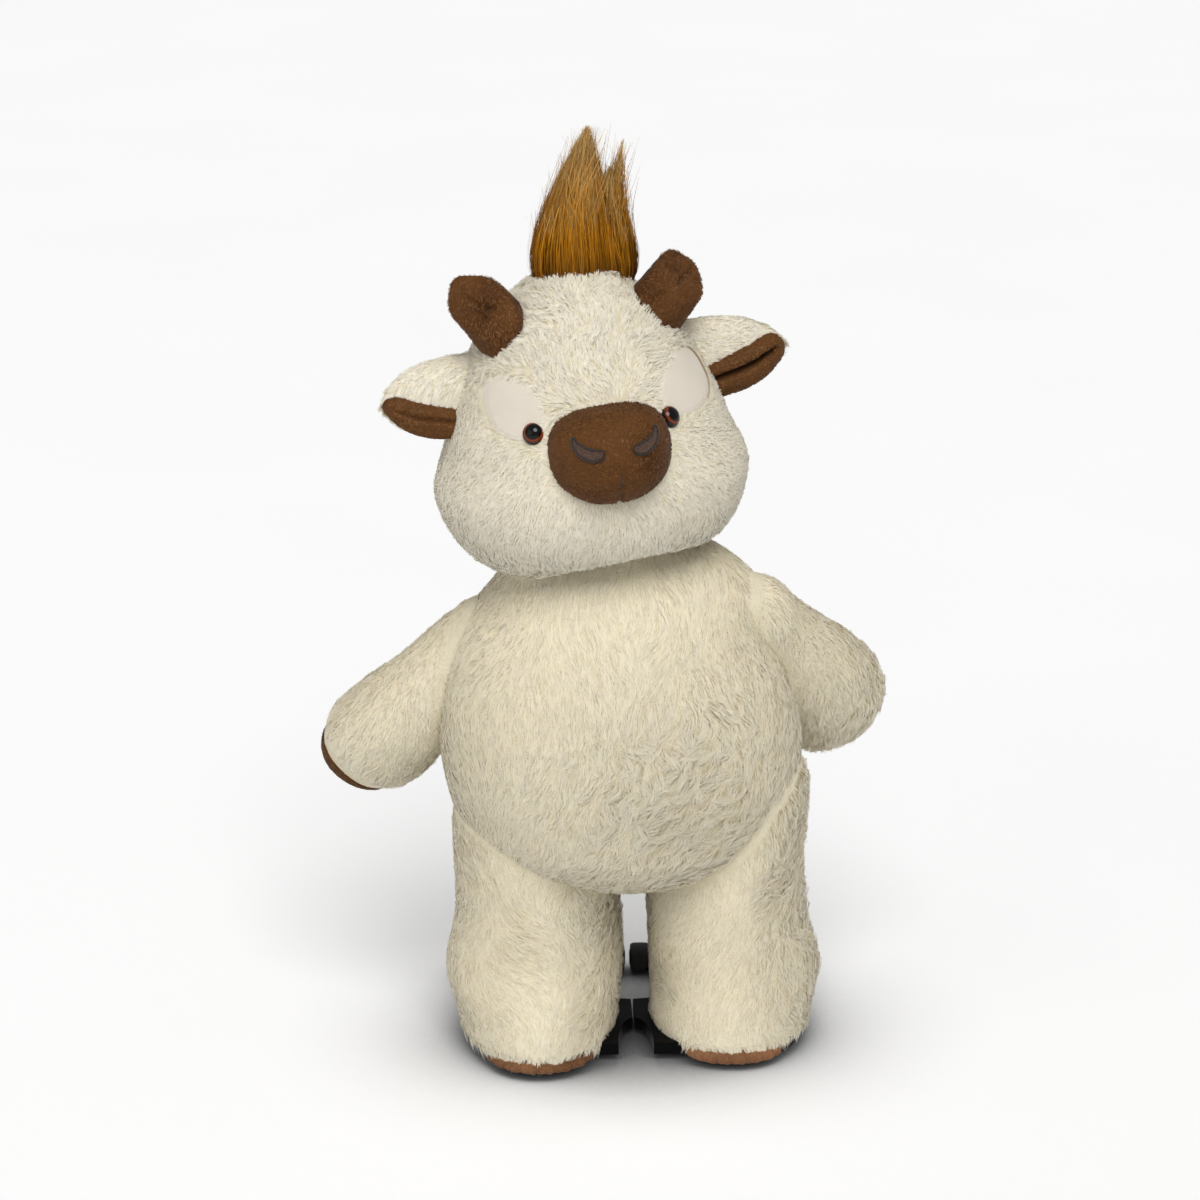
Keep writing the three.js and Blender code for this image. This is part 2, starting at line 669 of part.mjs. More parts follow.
function legPieces(name) {
  const side = sides[name];
  const slot = block(
    [bossStart - overrun, -leverSlot.width / 2, crankHeight - leverSlot.below],
    [bossStart + lever.thickness + overrun, leverSlot.width / 2, crankHeight + leverSlot.above],
  );
  const bores = [
    rodX(axleRadius + swingGap, 0, axleReach + overrun, 0, hipHeight),
    rodX(anklePinRadius + swingGap, 0, 2 * legSpread, 0, ankleHeight),
  ];
  const frame = cut(legFrameForm(), slot, ...bores);
  const column = legForm();
  const reach = leg.halfWidth + leg.halfDepth;
  const skirt = block([legSpread - reach, -reach, -overrun], [legSpread + reach, reach, ankleHeight]);
  const tube = rodX(hipTubeRadius + swingGap, -overrun, bossStart, 0, hipHeight);
  const tip = rodX(axleRadius + swingGap, bossEnd, axleReach + swingGap, 0, hipHeight);
  const sleeve = cut(column, skirt, footDomeForm(ankleGap), legFrameForm(seamGap), tube, tip);
  return [
    piece(`leg_frame_${name}`, mirrored(frame, side), finishes.grey()),
    piece(`leg_plush_${name}`, mirrored(sleeve, side), finishes.cream()),
  ];
}

// The foot's dome is round about the ankle pin, so the leg rides over it
function footDomeForm(grow = 0) {
  const dome = new THREE.SphereGeometry(1, bodySides, coarseRings).rotateZ(Math.PI / 2);
  dome.scale(footDome.halfWidth + grow, footDome.radius + grow, footDome.radius + grow);
  return dome.translate(legSpread, 0, ankleHeight);
}

// A plate with round corners, cut by an arch in front and by half a window that its twin completes
function footPlateForm() {
  const { inner, outer, front, back, corner } = plate;
  const outline = new THREE.Shape();
  outline.moveTo(inner, front);
  outline.lineTo(outer - corner, front);
  outline.absarc(outer - corner, front + corner, corner, -Math.PI / 2, 0);
  outline.lineTo(outer, rearBar.front);
  outline.lineTo(inner, rearBar.front);
  outline.closePath();
  const settings = { depth: plateTop - plateBottom, bevelEnabled: false, curveSegments: plateSegments };
  const body = new THREE.ExtrudeGeometry(outline, settings).translate(0, 0, plateBottom);
  const tall = [plateBottom - overrun, plateTop + overrun];
  const archHole = ellipseZ(arch.halfWidth, arch.depth, 0, ...tall).translate(0, front, 0);
  const windowHalf = (window.end - window.start) / 2;
  const windowHole = ellipseZ(window.halfWidth, windowHalf, 0, ...tall);
  windowHole.translate(0, window.start + windowHalf, 0);
  const rollerRoom = roller.halfWidth + 2 * swingGap;
  const bar = block(
    [roller.innerAt + rollerRoom, rearBar.front - overrun, plateBottom],
    [roller.outerAt - rollerRoom, back, rearBar.top],
  );
  const rollerRooms = [roller.innerAt, roller.outerAt].map((x) => rodX(
    roller.radius + 2 * swingGap, x - rollerRoom, x + rollerRoom, roller.place, roller.radius,
  ));
  const skidPad = block(
    [legSpread - skid.halfWidth, skid.front, 0],
    [legSpread + skid.halfWidth, skid.back, plateTop],
  );
  const lugStart = heelBossHalf + swingGap;
  const lugs = [-1, 1].flatMap((way) => {
    const near = legSpread + way * lugStart;
    const far = near + way * lugThickness;
    const [low, high] = [Math.min(near, far), Math.max(near, far)];
    const eye = rodX(lugRadius, low, high, 0, ankleHeight);
    return [eye, block([low, -lugRadius, plateBottom], [high, lugRadius, ankleHeight])];
  });
  const bores = [
    rodX(anklePinRadius + seamGap, 0, 2 * legSpread, 0, ankleHeight),
    rodX(rollerAxleRadius + swingGap, 0, 2 * legSpread, roller.place, roller.radius),
  ];
  const well = block(
    [legSpread - heelBossHalf - swingGap, -footWell.halfDepth, ankleHeight - heelBossRadius - 2 * swingGap],
    [legSpread + heelBossHalf + swingGap, footWell.halfDepth, plateTop + overrun],
  );
  const frame = cut(body, archHole, windowHole, ...rollerRooms);
  return cut(join(frame, bar, skidPad, ...lugs), ...bores, well);
}

function toeCapForm(reach) {
  const outer = ellipseZ(toeCap.halfWidth, reach, legSpread, toeCap.bottom, toeCap.top, bodySides);
  const room = leg.halfWidth + leg.halfDepth;
  const back = block(
    [legSpread - room, plate.front - seamGap, -overrun],
    [legSpread + room, room, ankleHeight],
  );
  return cut(outer, back);
}

function rollerForm(x) {
  const { radius, halfWidth, tread } = roller;
  const profile = [[0, -halfWidth]];
  for (let step = 0; step <= rollerRings; step += 1) {
    const angle = (step / rollerRings) * (Math.PI / 2);
    const drop = (radius / 2) * (1 - Math.sin(angle));
    profile.push([radius - drop, -tread - (halfWidth - tread) * Math.cos(angle)]);
  }
  const near = profile.slice(1).map(([r, along]) => [r, -along]).reverse();
  const ball = turned([...profile, ...near, [0, halfWidth]], rollerSides);
  ball.rotateZ(Math.PI / rollerSides).rotateY(Math.PI / 2);
  return ball.translate(x, roller.place, radius);
}

function footPieces(name) {
  const side = sides[name];
  const floor = block([0, -legTop, -legTop], [legTop, legTop, plateTop + seamGap]);
  const well = block(
    [legSpread - footWell.halfWidth, -footWell.halfDepth, 0],
    [legSpread + footWell.halfWidth, footWell.halfDepth, legTop],
  );
  const pinHalf = heelBossHalf + swingGap + lugThickness;
  const pin = rodX(anklePinRadius, legSpread - pinHalf, legSpread + pinHalf, 0, ankleHeight);
  const axleEnds = [roller.innerAt - roller.halfWidth, roller.outerAt + roller.halfWidth];
  const axle = rodX(rollerAxleRadius, ...axleEnds, roller.place, roller.radius);
  const hole = rodX(rollerAxleRadius + seamGap, 0, 2 * legSpread, roller.place, roller.radius);
  return {
    foot: [
      piece(`foot_plush_${name}`, mirrored(cut(footDomeForm(), floor, well), side), finishes.cream()),
      piece(`foot_plate_${name}`, mirrored(footPlateForm(), side), finishes.black()),
      piece(`toe_cap_${name}`, mirrored(toeCapForm(toeReaches[name]), side), finishes.brown()),
      piece(`ankle_pin_${name}`, mirrored(pin, side), finishes.steel()),
    ],
    rollers: [
      piece(`roller_axle_${name}`, mirrored(axle, side), finishes.steel()),
      piece(`roller_inner_${name}`, mirrored(cut(rollerForm(roller.innerAt), hole), side), finishes.black()),
      piece(`roller_outer_${name}`, mirrored(cut(rollerForm(roller.outerAt), hole), side), finishes.black()),
    ],
  };
}

// An arm in its own frame: the torso is turned through the arm's range and cut away from it
function armPieces(name) {
  const side = sides[name];
  const toArm = armPlace(name).invert();
  const coarse = torsoForm(3 * swingGap + chordGap(torso.halfWidth), bodyRings, coarseSides);
  const [low, high] = side > 0 ? [-armLowerAngle, armLiftAngle] : [-armLiftAngle, armLowerAngle];
  const bodies = swept(placed(coarse, toArm), origin, yAxis, low, high, armSteps);
  const whole = join(cut(armTaper(), ...bodies), armBallForm());
  const room = 2 * arm.hand;
  const tip = block([-room, -room, arm.length - padDepth], [room, room, arm.length + overrun]);
  const seam = block([-room, -room, arm.length - padDepth - seamGap], [room, room, arm.length + overrun]);
  const group = new THREE.Group();
  group.applyMatrix4(armPlace(name));
  group.add(piece(`arm_plush_${name}`, cut(whole, seam), finishes.cream()));
  group.add(piece(`paw_pad_${name}`, common(whole, tip), finishes.brown()));
  return group;
}

// How far out the head's surface lies on the face, at a place across and up
function faceDepth(x, z) {
  const bend = Math.log(0.5) / Math.log(head.widestShare);
  const share = Math.sin(Math.PI * (z / head.height) ** bend) ** head.fullnessShare;
  return -head.front * share * Math.sqrt(1 - (x / (head.halfWidth * share)) ** 2);
}

function eyeForm(side, grow = 0) {
  const x = eyeSpread * side;
  const y = faceDepth(x, eyeHeight);
  const dome = new THREE.SphereGeometry(eyeRadius + grow, smallSides, smallSides / 2);
  dome.translate(x, y, eyeHeight);
  const shell = cut(dome, headForm(seamGap));
  const stemRadius = eyeStemRadius + grow;
  const stem = new THREE.CylinderGeometry(stemRadius, stemRadius, eyeStemLength, smallSides);
  stem.translate(x, y + eyeStemLength / 2 - eyeRadius / 2, eyeHeight);
  return join(shell, stem);
}

function patchForm(side) {
  const { halfWidth, halfHeight, spread, height, thickness } = patch;
  const felt = new THREE.CylinderGeometry(1, 1, head.front, roundSides);
  felt.scale(halfWidth, 1, halfHeight).translate(spread * side, -head.front / 2 - halfWidth / 2, height);
  const face = cut(headForm(thickness + seamGap), headForm(seamGap));
  const eyeRoom = new THREE.SphereGeometry(eyeRadius + seamGap, smallSides, smallSides / 2);
  const eyeX = eyeSpread * side;
  eyeRoom.translate(eyeX, faceDepth(eyeX, eyeHeight), eyeHeight);
  return cut(common(face, felt), eyeRoom);
}

function muzzleForm() {
  const dome = new THREE.SphereGeometry(1, limbSides, smallSides).rotateX(Math.PI / 2);
  dome.scale(muzzle.halfWidth, muzzle.reach, muzzle.halfHeight);
  const eyes = Object.values(sides).map((side) => eyeForm(side, swingGap));
  return cut(dome.translate(0, -muzzle.sink, muzzle.height), headForm(seamGap), ...eyes);
}

function hornForm(side) {
  const { radius, tipRadius, length, sink, spread, height, forward } = horn;
  const profile = [[0, 0], [radius, 0], [tipRadius, length - hornRound]];
  for (let step = 1; step <= hornRings; step += 1) {
    const angle = (step / hornRings) * (Math.PI / 2);
    const inward = hornRound * (1 - Math.cos(angle));
    profile.push([tipRadius - inward, length - hornRound * (1 - Math.sin(angle))]);
  }
  profile.push([0, length]);
  const form = turned(profile, smallSides).translate(0, 0, -sink);
  form.rotateY(THREE.MathUtils.degToRad(hornSplayAngle) * side).translate(spread * side, -forward, height);
  return cut(form, headForm(seamGap));
}

function earForm(side, length) {
  const leaf = new THREE.SphereGeometry(1, limbSides, smallSides).rotateZ(Math.PI / 2);
  leaf.scale(length / 2, ear.halfDepth, ear.halfHeight);
  leaf.translate((ear.root + length / 2) * side, ear.forward, ear.height);
  return cut(leaf, headForm(seamGap));
}

function earPieces(name) {
  const length = earLengths[name];
  const whole = earForm(sides[name], length);
  const room = length + ear.root + overrun;
  const level = ear.height - earSplit;
  const below = (back, top) => block([-room, -room, ear.height - room], [room, back, top]);
  const lining = common(whole, below(ear.forward - seamGap, level - seamGap));
  return [
    piece(`ear_plush_${name}`, cut(whole, below(ear.forward, level)), finishes.cream()),
    piece(`ear_lining_${name}`, lining, finishes.brown()),
  ];
}

function lockForm({ height, halfWidth, depth, place, lean }) {
  const shape = { widestShare: lockWidestShare, fullnessShare: lockFullnessShare };
  const form = egg({ height, halfWidth, front: depth, back: depth, ...shape }, limbRings, smallSides);
  return leaned(form, lean, height).translate(place, 0, tuft.base);
}

function headPieces() {
  const group = new THREE.Group();
  group.applyMatrix4(headPlace());
  const socketOuter = neckPostRadius + swingGap + socketWall;
  const socketTop = neckPostReach + swingGap + socketRoof;
  const socket = cut(
    rodZ(socketOuter, 0, 0, socketStart, socketTop),
    rodZ(neckPostRadius + swingGap, 0, 0, 0, neckPostReach + swingGap),
  );
  const bore = rodZ(socketOuter + seamGap, 0, 0, -overrun, socketTop + seamGap);
  const eyeBores = Object.values(sides).map((side) => eyeForm(side, seamGap));
  const hair = cut(join(lockForm(tuft), lockForm(tuftSide)), headForm(seamGap));
  group.add(
    piece('head_plush', cut(headForm(), bore, ...eyeBores), finishes.cream()),
    piece('neck_socket', socket, finishes.grey()),
    piece('muzzle', muzzleForm(), finishes.brown()),
    piece('hair_tuft', hair, finishes.hair()),
  );
  for (const [name, side] of Object.entries(sides)) {
    group.add(
      piece(`eye_${name}`, eyeForm(side), finishes.eye()),
      piece(`eye_patch_${name}`, patchForm(side), finishes.patch()),
      piece(`horn_${name}`, hornForm(side), finishes.brown()),
      ...earPieces(name),
    );
  }
  return group;
}

// The toy, with its origin under the middle of its box
const toy = new THREE.Group();
toy.add(...torsoPieces(), ...framePieces(), ...drivePieces(), ...batteryPieces());
for (const name of Object.keys(sides)) {
  const { foot, rollers } = footPieces(name);
  toy.add(...legPieces(name), ...foot, ...rollers, armPieces(name));
}
toy.add(headPieces());
toy.updateMatrixWorld(true);
const box = new THREE.Box3().setFromObject(toy, true);
const middle = box.getCenter(new THREE.Vector3());
toy.position.set(-middle.x, -middle.y, -box.min.z);

const group = new THREE.Group();
group.add(toy);
group.updateMatrixWorld(true);

export default group;
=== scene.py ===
"""The walking calf: furred skins, strands of pile, face, tuft and finishes dressed over its fixed frame."""

import math
from functools import partial

import bpy
import numpy as np
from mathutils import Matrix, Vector


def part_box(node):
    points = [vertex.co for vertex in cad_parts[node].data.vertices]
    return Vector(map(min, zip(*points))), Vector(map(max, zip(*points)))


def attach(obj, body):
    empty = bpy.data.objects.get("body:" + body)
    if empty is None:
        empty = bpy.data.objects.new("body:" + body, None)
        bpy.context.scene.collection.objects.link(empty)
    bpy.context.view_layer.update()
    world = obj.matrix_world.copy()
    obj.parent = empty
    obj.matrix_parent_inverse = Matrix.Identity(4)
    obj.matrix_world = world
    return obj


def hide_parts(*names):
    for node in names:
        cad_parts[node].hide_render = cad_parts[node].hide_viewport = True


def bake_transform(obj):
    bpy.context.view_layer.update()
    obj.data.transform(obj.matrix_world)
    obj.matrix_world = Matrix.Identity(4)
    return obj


bl_info = {
    "name": "Walking plush calf",
    "version": (1, 0, 0),
    "blender": (4, 5, 0),
    "location": "3D View > Sidebar > Plush calf",
    "description": "Builds the furred skins, face and finishes of a walking plush calf over its frame",
    "category": "Add Mesh",
}

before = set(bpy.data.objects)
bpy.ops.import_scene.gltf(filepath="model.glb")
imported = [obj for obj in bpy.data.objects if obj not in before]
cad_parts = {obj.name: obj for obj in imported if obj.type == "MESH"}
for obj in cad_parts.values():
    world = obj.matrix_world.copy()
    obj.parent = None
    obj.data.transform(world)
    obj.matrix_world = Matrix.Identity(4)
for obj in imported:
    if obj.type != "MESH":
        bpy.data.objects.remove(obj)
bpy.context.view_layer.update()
MM = 0.001
SEED = 41
SIDE = {"left": 1.0, "right": -1.0}

# Where the toy's own middle stands in the frame, and its main heights, in millimetres
MIDDLE = np.array([18.078, 4.080, 0.0])
NECK = np.array([-21.2, 0.0, 324.0])
HEAD_ROLL, HEAD_YAW = -6.2, 9.0
TORSO = {"base": 112, "height": 248, "wide": 112, "front": 92, "back": 80, "widest": 0.37, "full": 0.5}
HEAD = {"base": 0, "height": 185, "wide": 96, "front": 90, "back": 84, "widest": 0.34, "full": 0.45}
TUFT = {"widest": 0.26, "full": 0.9}
CROWN = 0.085
SHOULDERS = {"left": 17.0, "right": -9.0, "height": 314.0}
CHIN = {"neck": -2.0, "forward": 0.31, "aside": 0.045}
FLAP = {"half_wide": 36.5, "half_tall": 38.5, "middle": 219.8, "slit": 0.8}
TORSO_ASIDE, TORSO_LEAN, LEAN_RISE = -6.0, -15.0, 212.0
LEG_SPREAD = 62.0
LEG = {"low": -4, "top": 208, "wide": 51, "deep": 58, "foot": 13, "ankle_top": 62, "ankle_low": 22}
TOE_REACH = {"left": 68.0, "right": 80.0}
SHOULDER = {"left": np.array([76.0, 4.0, 281.0]), "right": np.array([-92.0, 4.0, 271.0])}
ARM_TURN = {"left": (48.0, 132.5), "right": (-22.0, -133.0)}
ARM = {"ball": 25, "wrist": 25, "hand": 37, "palm": 105, "tip": 142, "pad": 129, "pad_proud": 2.4}
MUZZLE = {"wide": 38, "deep": 44, "tall": 31, "sink": 70, "height": 88}
GROOVE = {"deep": 1.8, "half_wide": 1.5}
EYE = {"aside": 41, "height": 105, "radius": 7}
EYE_SHIFT = {"left": (-2.0, -2.0), "right": (-2.0, 0.0)}
PUPIL = {"right": 0.2, "up": 0.16}
PATCH = {"height": 119, "tall": 17.5}
PATCH_ASIDE = {"left": 54.0, "right": 51.0}
PATCH_WIDE = {"left": 18.5, "right": 15.5}
PATCH_TAPER = {"left": 0.28, "right": 0.0}
HORN = {"aside": 38, "forward": 18, "height": 147, "splay": 42, "root": 20, "tip": 16}
HORN_CUT = {"left": 0.7, "right": 1.2}
HORN_BEND = {"left": 0.0, "right": 4.0}
HORN_SHORT = {"left": 3.0, "right": 6.0}
EAR = {"root": 54, "height": 117, "forward": 2, "tall": 24, "deep": 12, "round": 0.16}
EAR_LENGTH = {"left": 76.0, "right": 70.0}
EAR_FOLD = {"left": 13.0, "right": 11.0}
EAR_TAPER = {"left": 3.0, "right": 3.2}
EAR_SLIT = {"left": 0.92, "right": 0.35}

# The nostril's middle line, across and up from the muzzle's middle, with its half width
NOSTRIL = {
    "x": (25.5, 24.6, 21.0, 16.0, 11.5, 9.0),
    "z": (20.5, 16.0, 11.8, 9.6, 10.0, 12.4),
    "half": (0.5, 2.0, 3.2, 3.7, 3.0, 0.6),
}

# The tuft's locks: place, height, width, depth, tilt, share of the hairs, and height share of a filling core
LOCKS = (
    (5.0, 100.0, 29.0, 18.0, 17.0, 0.62, 0.42),
    (24.0, 74.0, 19.5, 14.5, 9.0, 0.24, 0.42),
    (28.0, 90.0, 13.0, 9.0, 15.0, 0.06, 0.0),
)

# How many strands are scattered over each piece, before the hidden ones go, and the most in one piece
PILE = {"belly": 150000, "flap": 17000, "leg": 60000, "arm": 33000, "head": 130000, "ear": 14000}
NAP = {"arm_pad": 7000, "ear_lining": 8000, "horn": 9000, "muzzle": 20000}
PILE_LIMIT = 62000
NAP_WIDTH, NAP_LOCK = 0.52, 3.6


def turn_y(degrees):
    """Rotation matrix about the upright page's depth axis."""
    c, s = math.cos(math.radians(degrees)), math.sin(math.radians(degrees))
    return np.array([[c, 0, s], [0, 1, 0], [-s, 0, c]])


def turn_z(degrees):
    """Rotation matrix about the upright axis."""
    c, s = math.cos(math.radians(degrees)), math.sin(math.radians(degrees))
    return np.array([[c, -s, 0], [s, c, 0], [0, 0, 1]])


HEAD_TURN = turn_y(HEAD_ROLL) @ turn_z(HEAD_YAW)


def xyz(x, y, z):
    """Points from their three coordinates, spread to one shape."""
    return np.stack(np.broadcast_arrays(x, y, z), -1)


def apart(points):
    """The three coordinates of points, as views."""
    return np.moveaxis(points, -1, 0)


def ring(u):
    """Cosine and sine of one turn, for u from 0 to 1."""
    return np.cos(2 * np.pi * u), np.sin(2 * np.pi * u)


def eased(v):
    """0 to 1 with slow ends, (1 - cos(pi v)) / 2, so that rows lie closer near the poles."""
    return (1 - np.cos(np.pi * v)) / 2


def smooth(low, high, x):
    """0 below low, 1 above high, and 3t^2 - 2t^3 between them."""
    t = np.clip((x - low) / (high - low), 0, 1)
    return t * t * (3 - 2 * t)


def hump(x, middle, width):
    """A bell of height 1 round middle, exp(-((x - middle) / width)^2)."""
    return np.exp(-(((x - middle) / width) ** 2))


def unit(ways, least=1e-9):
    """Directions scaled to length 1."""
    return ways / np.maximum(np.linalg.norm(ways, axis=-1, keepdims=True), least)


def from_head(points):
    """Points of the head's own frame put on the neck, in the toy's frame."""
    return points @ HEAD_TURN.T + NECK


def to_head(points):
    """Points of the toy's frame in the head's own frame."""
    return (points - NECK) @ HEAD_TURN


def arm_turn(name):
    """The arm's rotation: swept back about the upright, then let down from it."""
    back, drop = ARM_TURN[name]
    return turn_z(back) @ turn_y(drop)


def to_arm(name, points):
    """Points of the toy's frame in an arm's own frame, whose z runs from its shoulder to its tip."""
    return (points - SHOULDER[name]) @ arm_turn(name)


def to_metres(points):
    """Millimetres of the toy's frame as metres of the fixed frame."""
    return (points + MIDDLE) * MM


def egg_share(form, rise):
    """An egg's radius as a share of its widest: sin(pi s^b)^f, and b sets where that is."""
    bend = math.log(0.5) / math.log(form["widest"])
    return np.sin(np.pi * np.clip(rise, 1e-7, 1 - 1e-7) ** bend) ** form["full"]


def egg_depth(form, y):
    """An egg's half depth, which differs in front and behind."""
    return np.where(y < 0, form["front"], form["back"])


def egg(form, u, v):
    """An egg upright on its base: ellipse rings of the egg share, flatter behind than in front."""
    rise = eased(v)
    share = egg_share(form, rise)
    across, along = ring(u)
    x, y = form["wide"] * share * across, egg_depth(form, along) * share * along
    return xyz(x, y, form["base"] + form["height"] * rise)


def in_egg(form, points, grow=0.0):
    """Which points lie inside the egg grown by grow."""
    x, y, z = apart(points)
    rise = (z - form["base"]) / form["height"]
    share = egg_share(form, np.clip(rise, 0.0, 1.0))
    reach = np.hypot(x / (form["wide"] * share + grow), y / (egg_depth(form, y) * share + grow))
    return (reach < 1) & (rise > -grow / form["height"]) & (rise < 1 + grow / form["height"])


def lean(points, sign=1.0):
    """The belly's slow lean to one side with height, put on or taken off."""
    moved = points.copy()
    moved[..., 0] += sign * (TORSO_ASIDE + TORSO_LEAN * ((points[..., 2] - TORSO["base"]) / LEAN_RISE) ** 2)
    return moved


def shoulders(aside, z):
    """How far the torso swells out at its left shoulder and draws in at its right one, across it."""
    reach = np.where(aside > 0, SHOULDERS["left"], SHOULDERS["right"])
    return reach * hump(z, SHOULDERS["height"], 24.0) * aside**2 * np.sign(aside)


def aside_of(upright):
    """How far round to a side points of the upright torso lie, the cosine of their turn, from -1 to 1."""
    across, along = upright[..., 0] / TORSO["wide"], upright[..., 1] / TORSO["front"]
    return across / np.maximum(np.hypot(across, along), 1e-6)


def lower_share(z):
    """How much fuller the belly is just over the legs."""
    return 1 + 0.05 * hump(z, 138.0, 24.0)


def in_torso(points, grow=0.0):
    """Which points lie inside the torso's skin grown by grow."""
    upright = lean(points, -1.0)
    upright[..., :2] /= lower_share(upright[..., 2:3])
    upright[..., 0] -= shoulders(aside_of(upright), upright[..., 2])
    return in_egg(TORSO, upright, grow)


def crown_share(z):
    """How much narrower the head is above its cheeks."""
    return 1 - CROWN * smooth(52.0, 88.0, z)


def chin_height(x, y):
    """The slope that the head's underside is drawn up to, from the neck forward to the chin."""
    return CHIN["neck"] - CHIN["forward"] * np.minimum(y, 0) + CHIN["aside"] * x


def in_head(points, grow=0.0):
    """Which points lie inside the head's skin grown by grow."""
    local = to_head(points)
    local[..., 0] /= crown_share(local[..., 2])
    return in_egg(HEAD, local, grow) & (local[..., 2] > chin_height(local[..., 0], local[..., 1]) - grow)


def leg_share(z):
    """A leg's radius share, (1 - |2s - 1|^4)^(1/4) of its height share s."""
    rise = np.clip((z - LEG["low"]) / (LEG["top"] - LEG["low"]), 1e-6, 1 - 1e-6)
    return (1 - np.abs(2 * rise - 1) ** 4) ** 0.25


def in_leg(name, points, grow=0.0):
    """Which points lie inside a leg's column grown by grow."""
    x, y, z = apart(points)
    share = leg_share(z)
    across = (x - SIDE[name] * LEG_SPREAD) / (LEG["wide"] * share + grow)
    return (np.hypot(across, y / (LEG["deep"] * share + grow)) < 1) & (z < LEG["top"] + grow)


def arm_radius(z):
    """An arm's radius along it: a shoulder ball, a slow swell to the hand, and a round end."""
    tube = ARM["wrist"] + (ARM["hand"] - ARM["wrist"]) * smooth(0.0, ARM["palm"], z)
    ball = np.sqrt(np.clip(ARM["ball"] ** 2 - np.minimum(z, 0) ** 2, 0, None))
    past = np.clip(z - ARM["palm"], 0, None) / (ARM["tip"] - ARM["palm"])
    return np.where(z < 0, ball, tube * np.sqrt(np.clip(1 - past**2, 0, None)))


def in_arm(name, points, grow=0.0):
    """Which points lie inside an arm grown by grow."""
    x, y, z = apart(to_arm(name, points))
    return (np.hypot(x, y) < arm_radius(z) + grow) & (z > -ARM["ball"]) & (z < ARM["tip"])


def torso_skin(u, v):
    """The belly's egg, leaned, pressed down under the head and lifted off the legs."""
    points = egg(TORSO, u, v)
    points[..., 0] += shoulders(ring(u)[0], points[..., 2])
    points[..., :2] *= lower_share(points[..., 2:3])
    local = to_head(lean(points))
    x, y, z = apart(local)
    reach = np.hypot(x / HEAD["wide"], y / egg_depth(HEAD, y))
    bend = math.log(0.5) / math.log(HEAD["widest"])
    rise = (np.arcsin(np.clip(reach, 0, 1) ** (1 / HEAD["full"])) / np.pi) ** (1 / bend)
    under = np.maximum(HEAD["height"] * rise - 1.5, chin_height(x, y) - 0.5)
    local[..., 2] = np.where(reach < 1, np.minimum(z, under), z)
    points = from_head(local)
    x, y, z = apart(points)
    for side in SIDE.values():
        across = np.hypot((x - side * LEG_SPREAD) / LEG["wide"], y / LEG["deep"])
        rise = (1 + (1 - np.clip(across, 0, 1) ** 4) ** 0.25) / 2
        top = LEG["low"] + (LEG["top"] - LEG["low"]) * rise + 1.5
        points[..., 2] = np.where((across < 1) & (z < LEG["top"]), np.maximum(z, top), z)
    return points


def head_skin(u, v):
    """The head's egg, narrower above its cheeks, its underside drawn up to the chin's slope."""
    x, y, z = apart(egg(HEAD, u, v))
    slope = chin_height(x, y)
    z = slope + (z - slope + np.hypot(z - slope, 4.0)) / 2
    return from_head(xyz(x * crown_share(z), y, z))


def leg_skin(name, u, v):
    """A leg's upright column of the leg share, its toe drawn forward over the sole and its foot closed flat.

    The left one is slimmer outside at the knee, and both swell outward above the foot."""
    z = LEG["foot"] + (LEG["top"] - LEG["foot"]) * eased(v)
    ends = np.sqrt(np.clip(1 - (1 - np.clip(v / 0.06, 0, 1)) ** 2, 0, 1))
    foot = smooth(75.0, 14.0, z)
    share = leg_share(z)
    share = (share + (0.95 - share) * foot) * ends
    across, along = ring(u)
    depth = np.where(along < 0, LEG["deep"] + (TOE_REACH[name] - 2 - LEG["deep"]) * foot, LEG["deep"])
    outer = across * SIDE[name]
    slim = 8.0 * (smooth(0.0, 0.6, outer) * (SIDE[name] > 0)) * hump(z, 120.0, 42.0)
    wide = LEG["wide"] * (1 + 0.02 * np.sin(z / 17.0 + SIDE[name])) - slim
    wide = wide + 6.0 * smooth(0.2, 0.9, outer) * hump(z, 48.0, 24.0)
    return xyz(SIDE[name] * LEG_SPREAD + wide * share * across, depth * share * along, z)


def arm_skin(name, u, v, start=-ARM["ball"], end=ARM["tip"], proud=0.0):
    """An arm turned about its own axis with arm_radius, set on the shoulder and held off the belly.

    The right one is flatter on top. The left one is a little shorter, its root drawn on towards the neck."""
    z = start + (end - start) * eased(v)
    radius = arm_radius(z) + proud * np.sin(np.pi * v) ** 0.3
    z = z + proud * smooth(ARM["palm"], ARM["tip"], z)
    across, along = ring(u)
    x = radius * across
    if name == "right":
        x = np.where(x > 0, x * (1 - 0.24 * smooth(5.0, 70.0, z)), x)
    else:
        z = np.where(z < 0, z * 1.45, z * (1 - 0.045 * smooth(40.0, 142.0, z)))
    upright = lean(xyz(x, radius * along, z) @ arm_turn(name).T + SHOULDER[name], -1.0)
    share = egg_share(TORSO, (upright[..., 2] - TORSO["base"]) / TORSO["height"])
    depth = egg_depth(TORSO, upright[..., 1])
    drawn = shoulders(np.minimum(aside_of(upright), 0), upright[..., 2])
    inner = upright[..., 0] - drawn
    reach = np.hypot(inner / (TORSO["wide"] * share + 1), upright[..., 1] / (depth * share + 1))
    out = np.where(reach < 1, 1 / np.maximum(reach, 0.3), 1.0)
    upright[..., 0] = inner * out + drawn
    upright[..., 1] *= out
    return lean(upright)


def muzzle_power(rise):
    """The power of the muzzle's rounded box: 2.1 in its round lower part, 2.7 in its squarer upper one."""
    return 2.1 + 0.6 * smooth(-0.1, 0.6, rise)


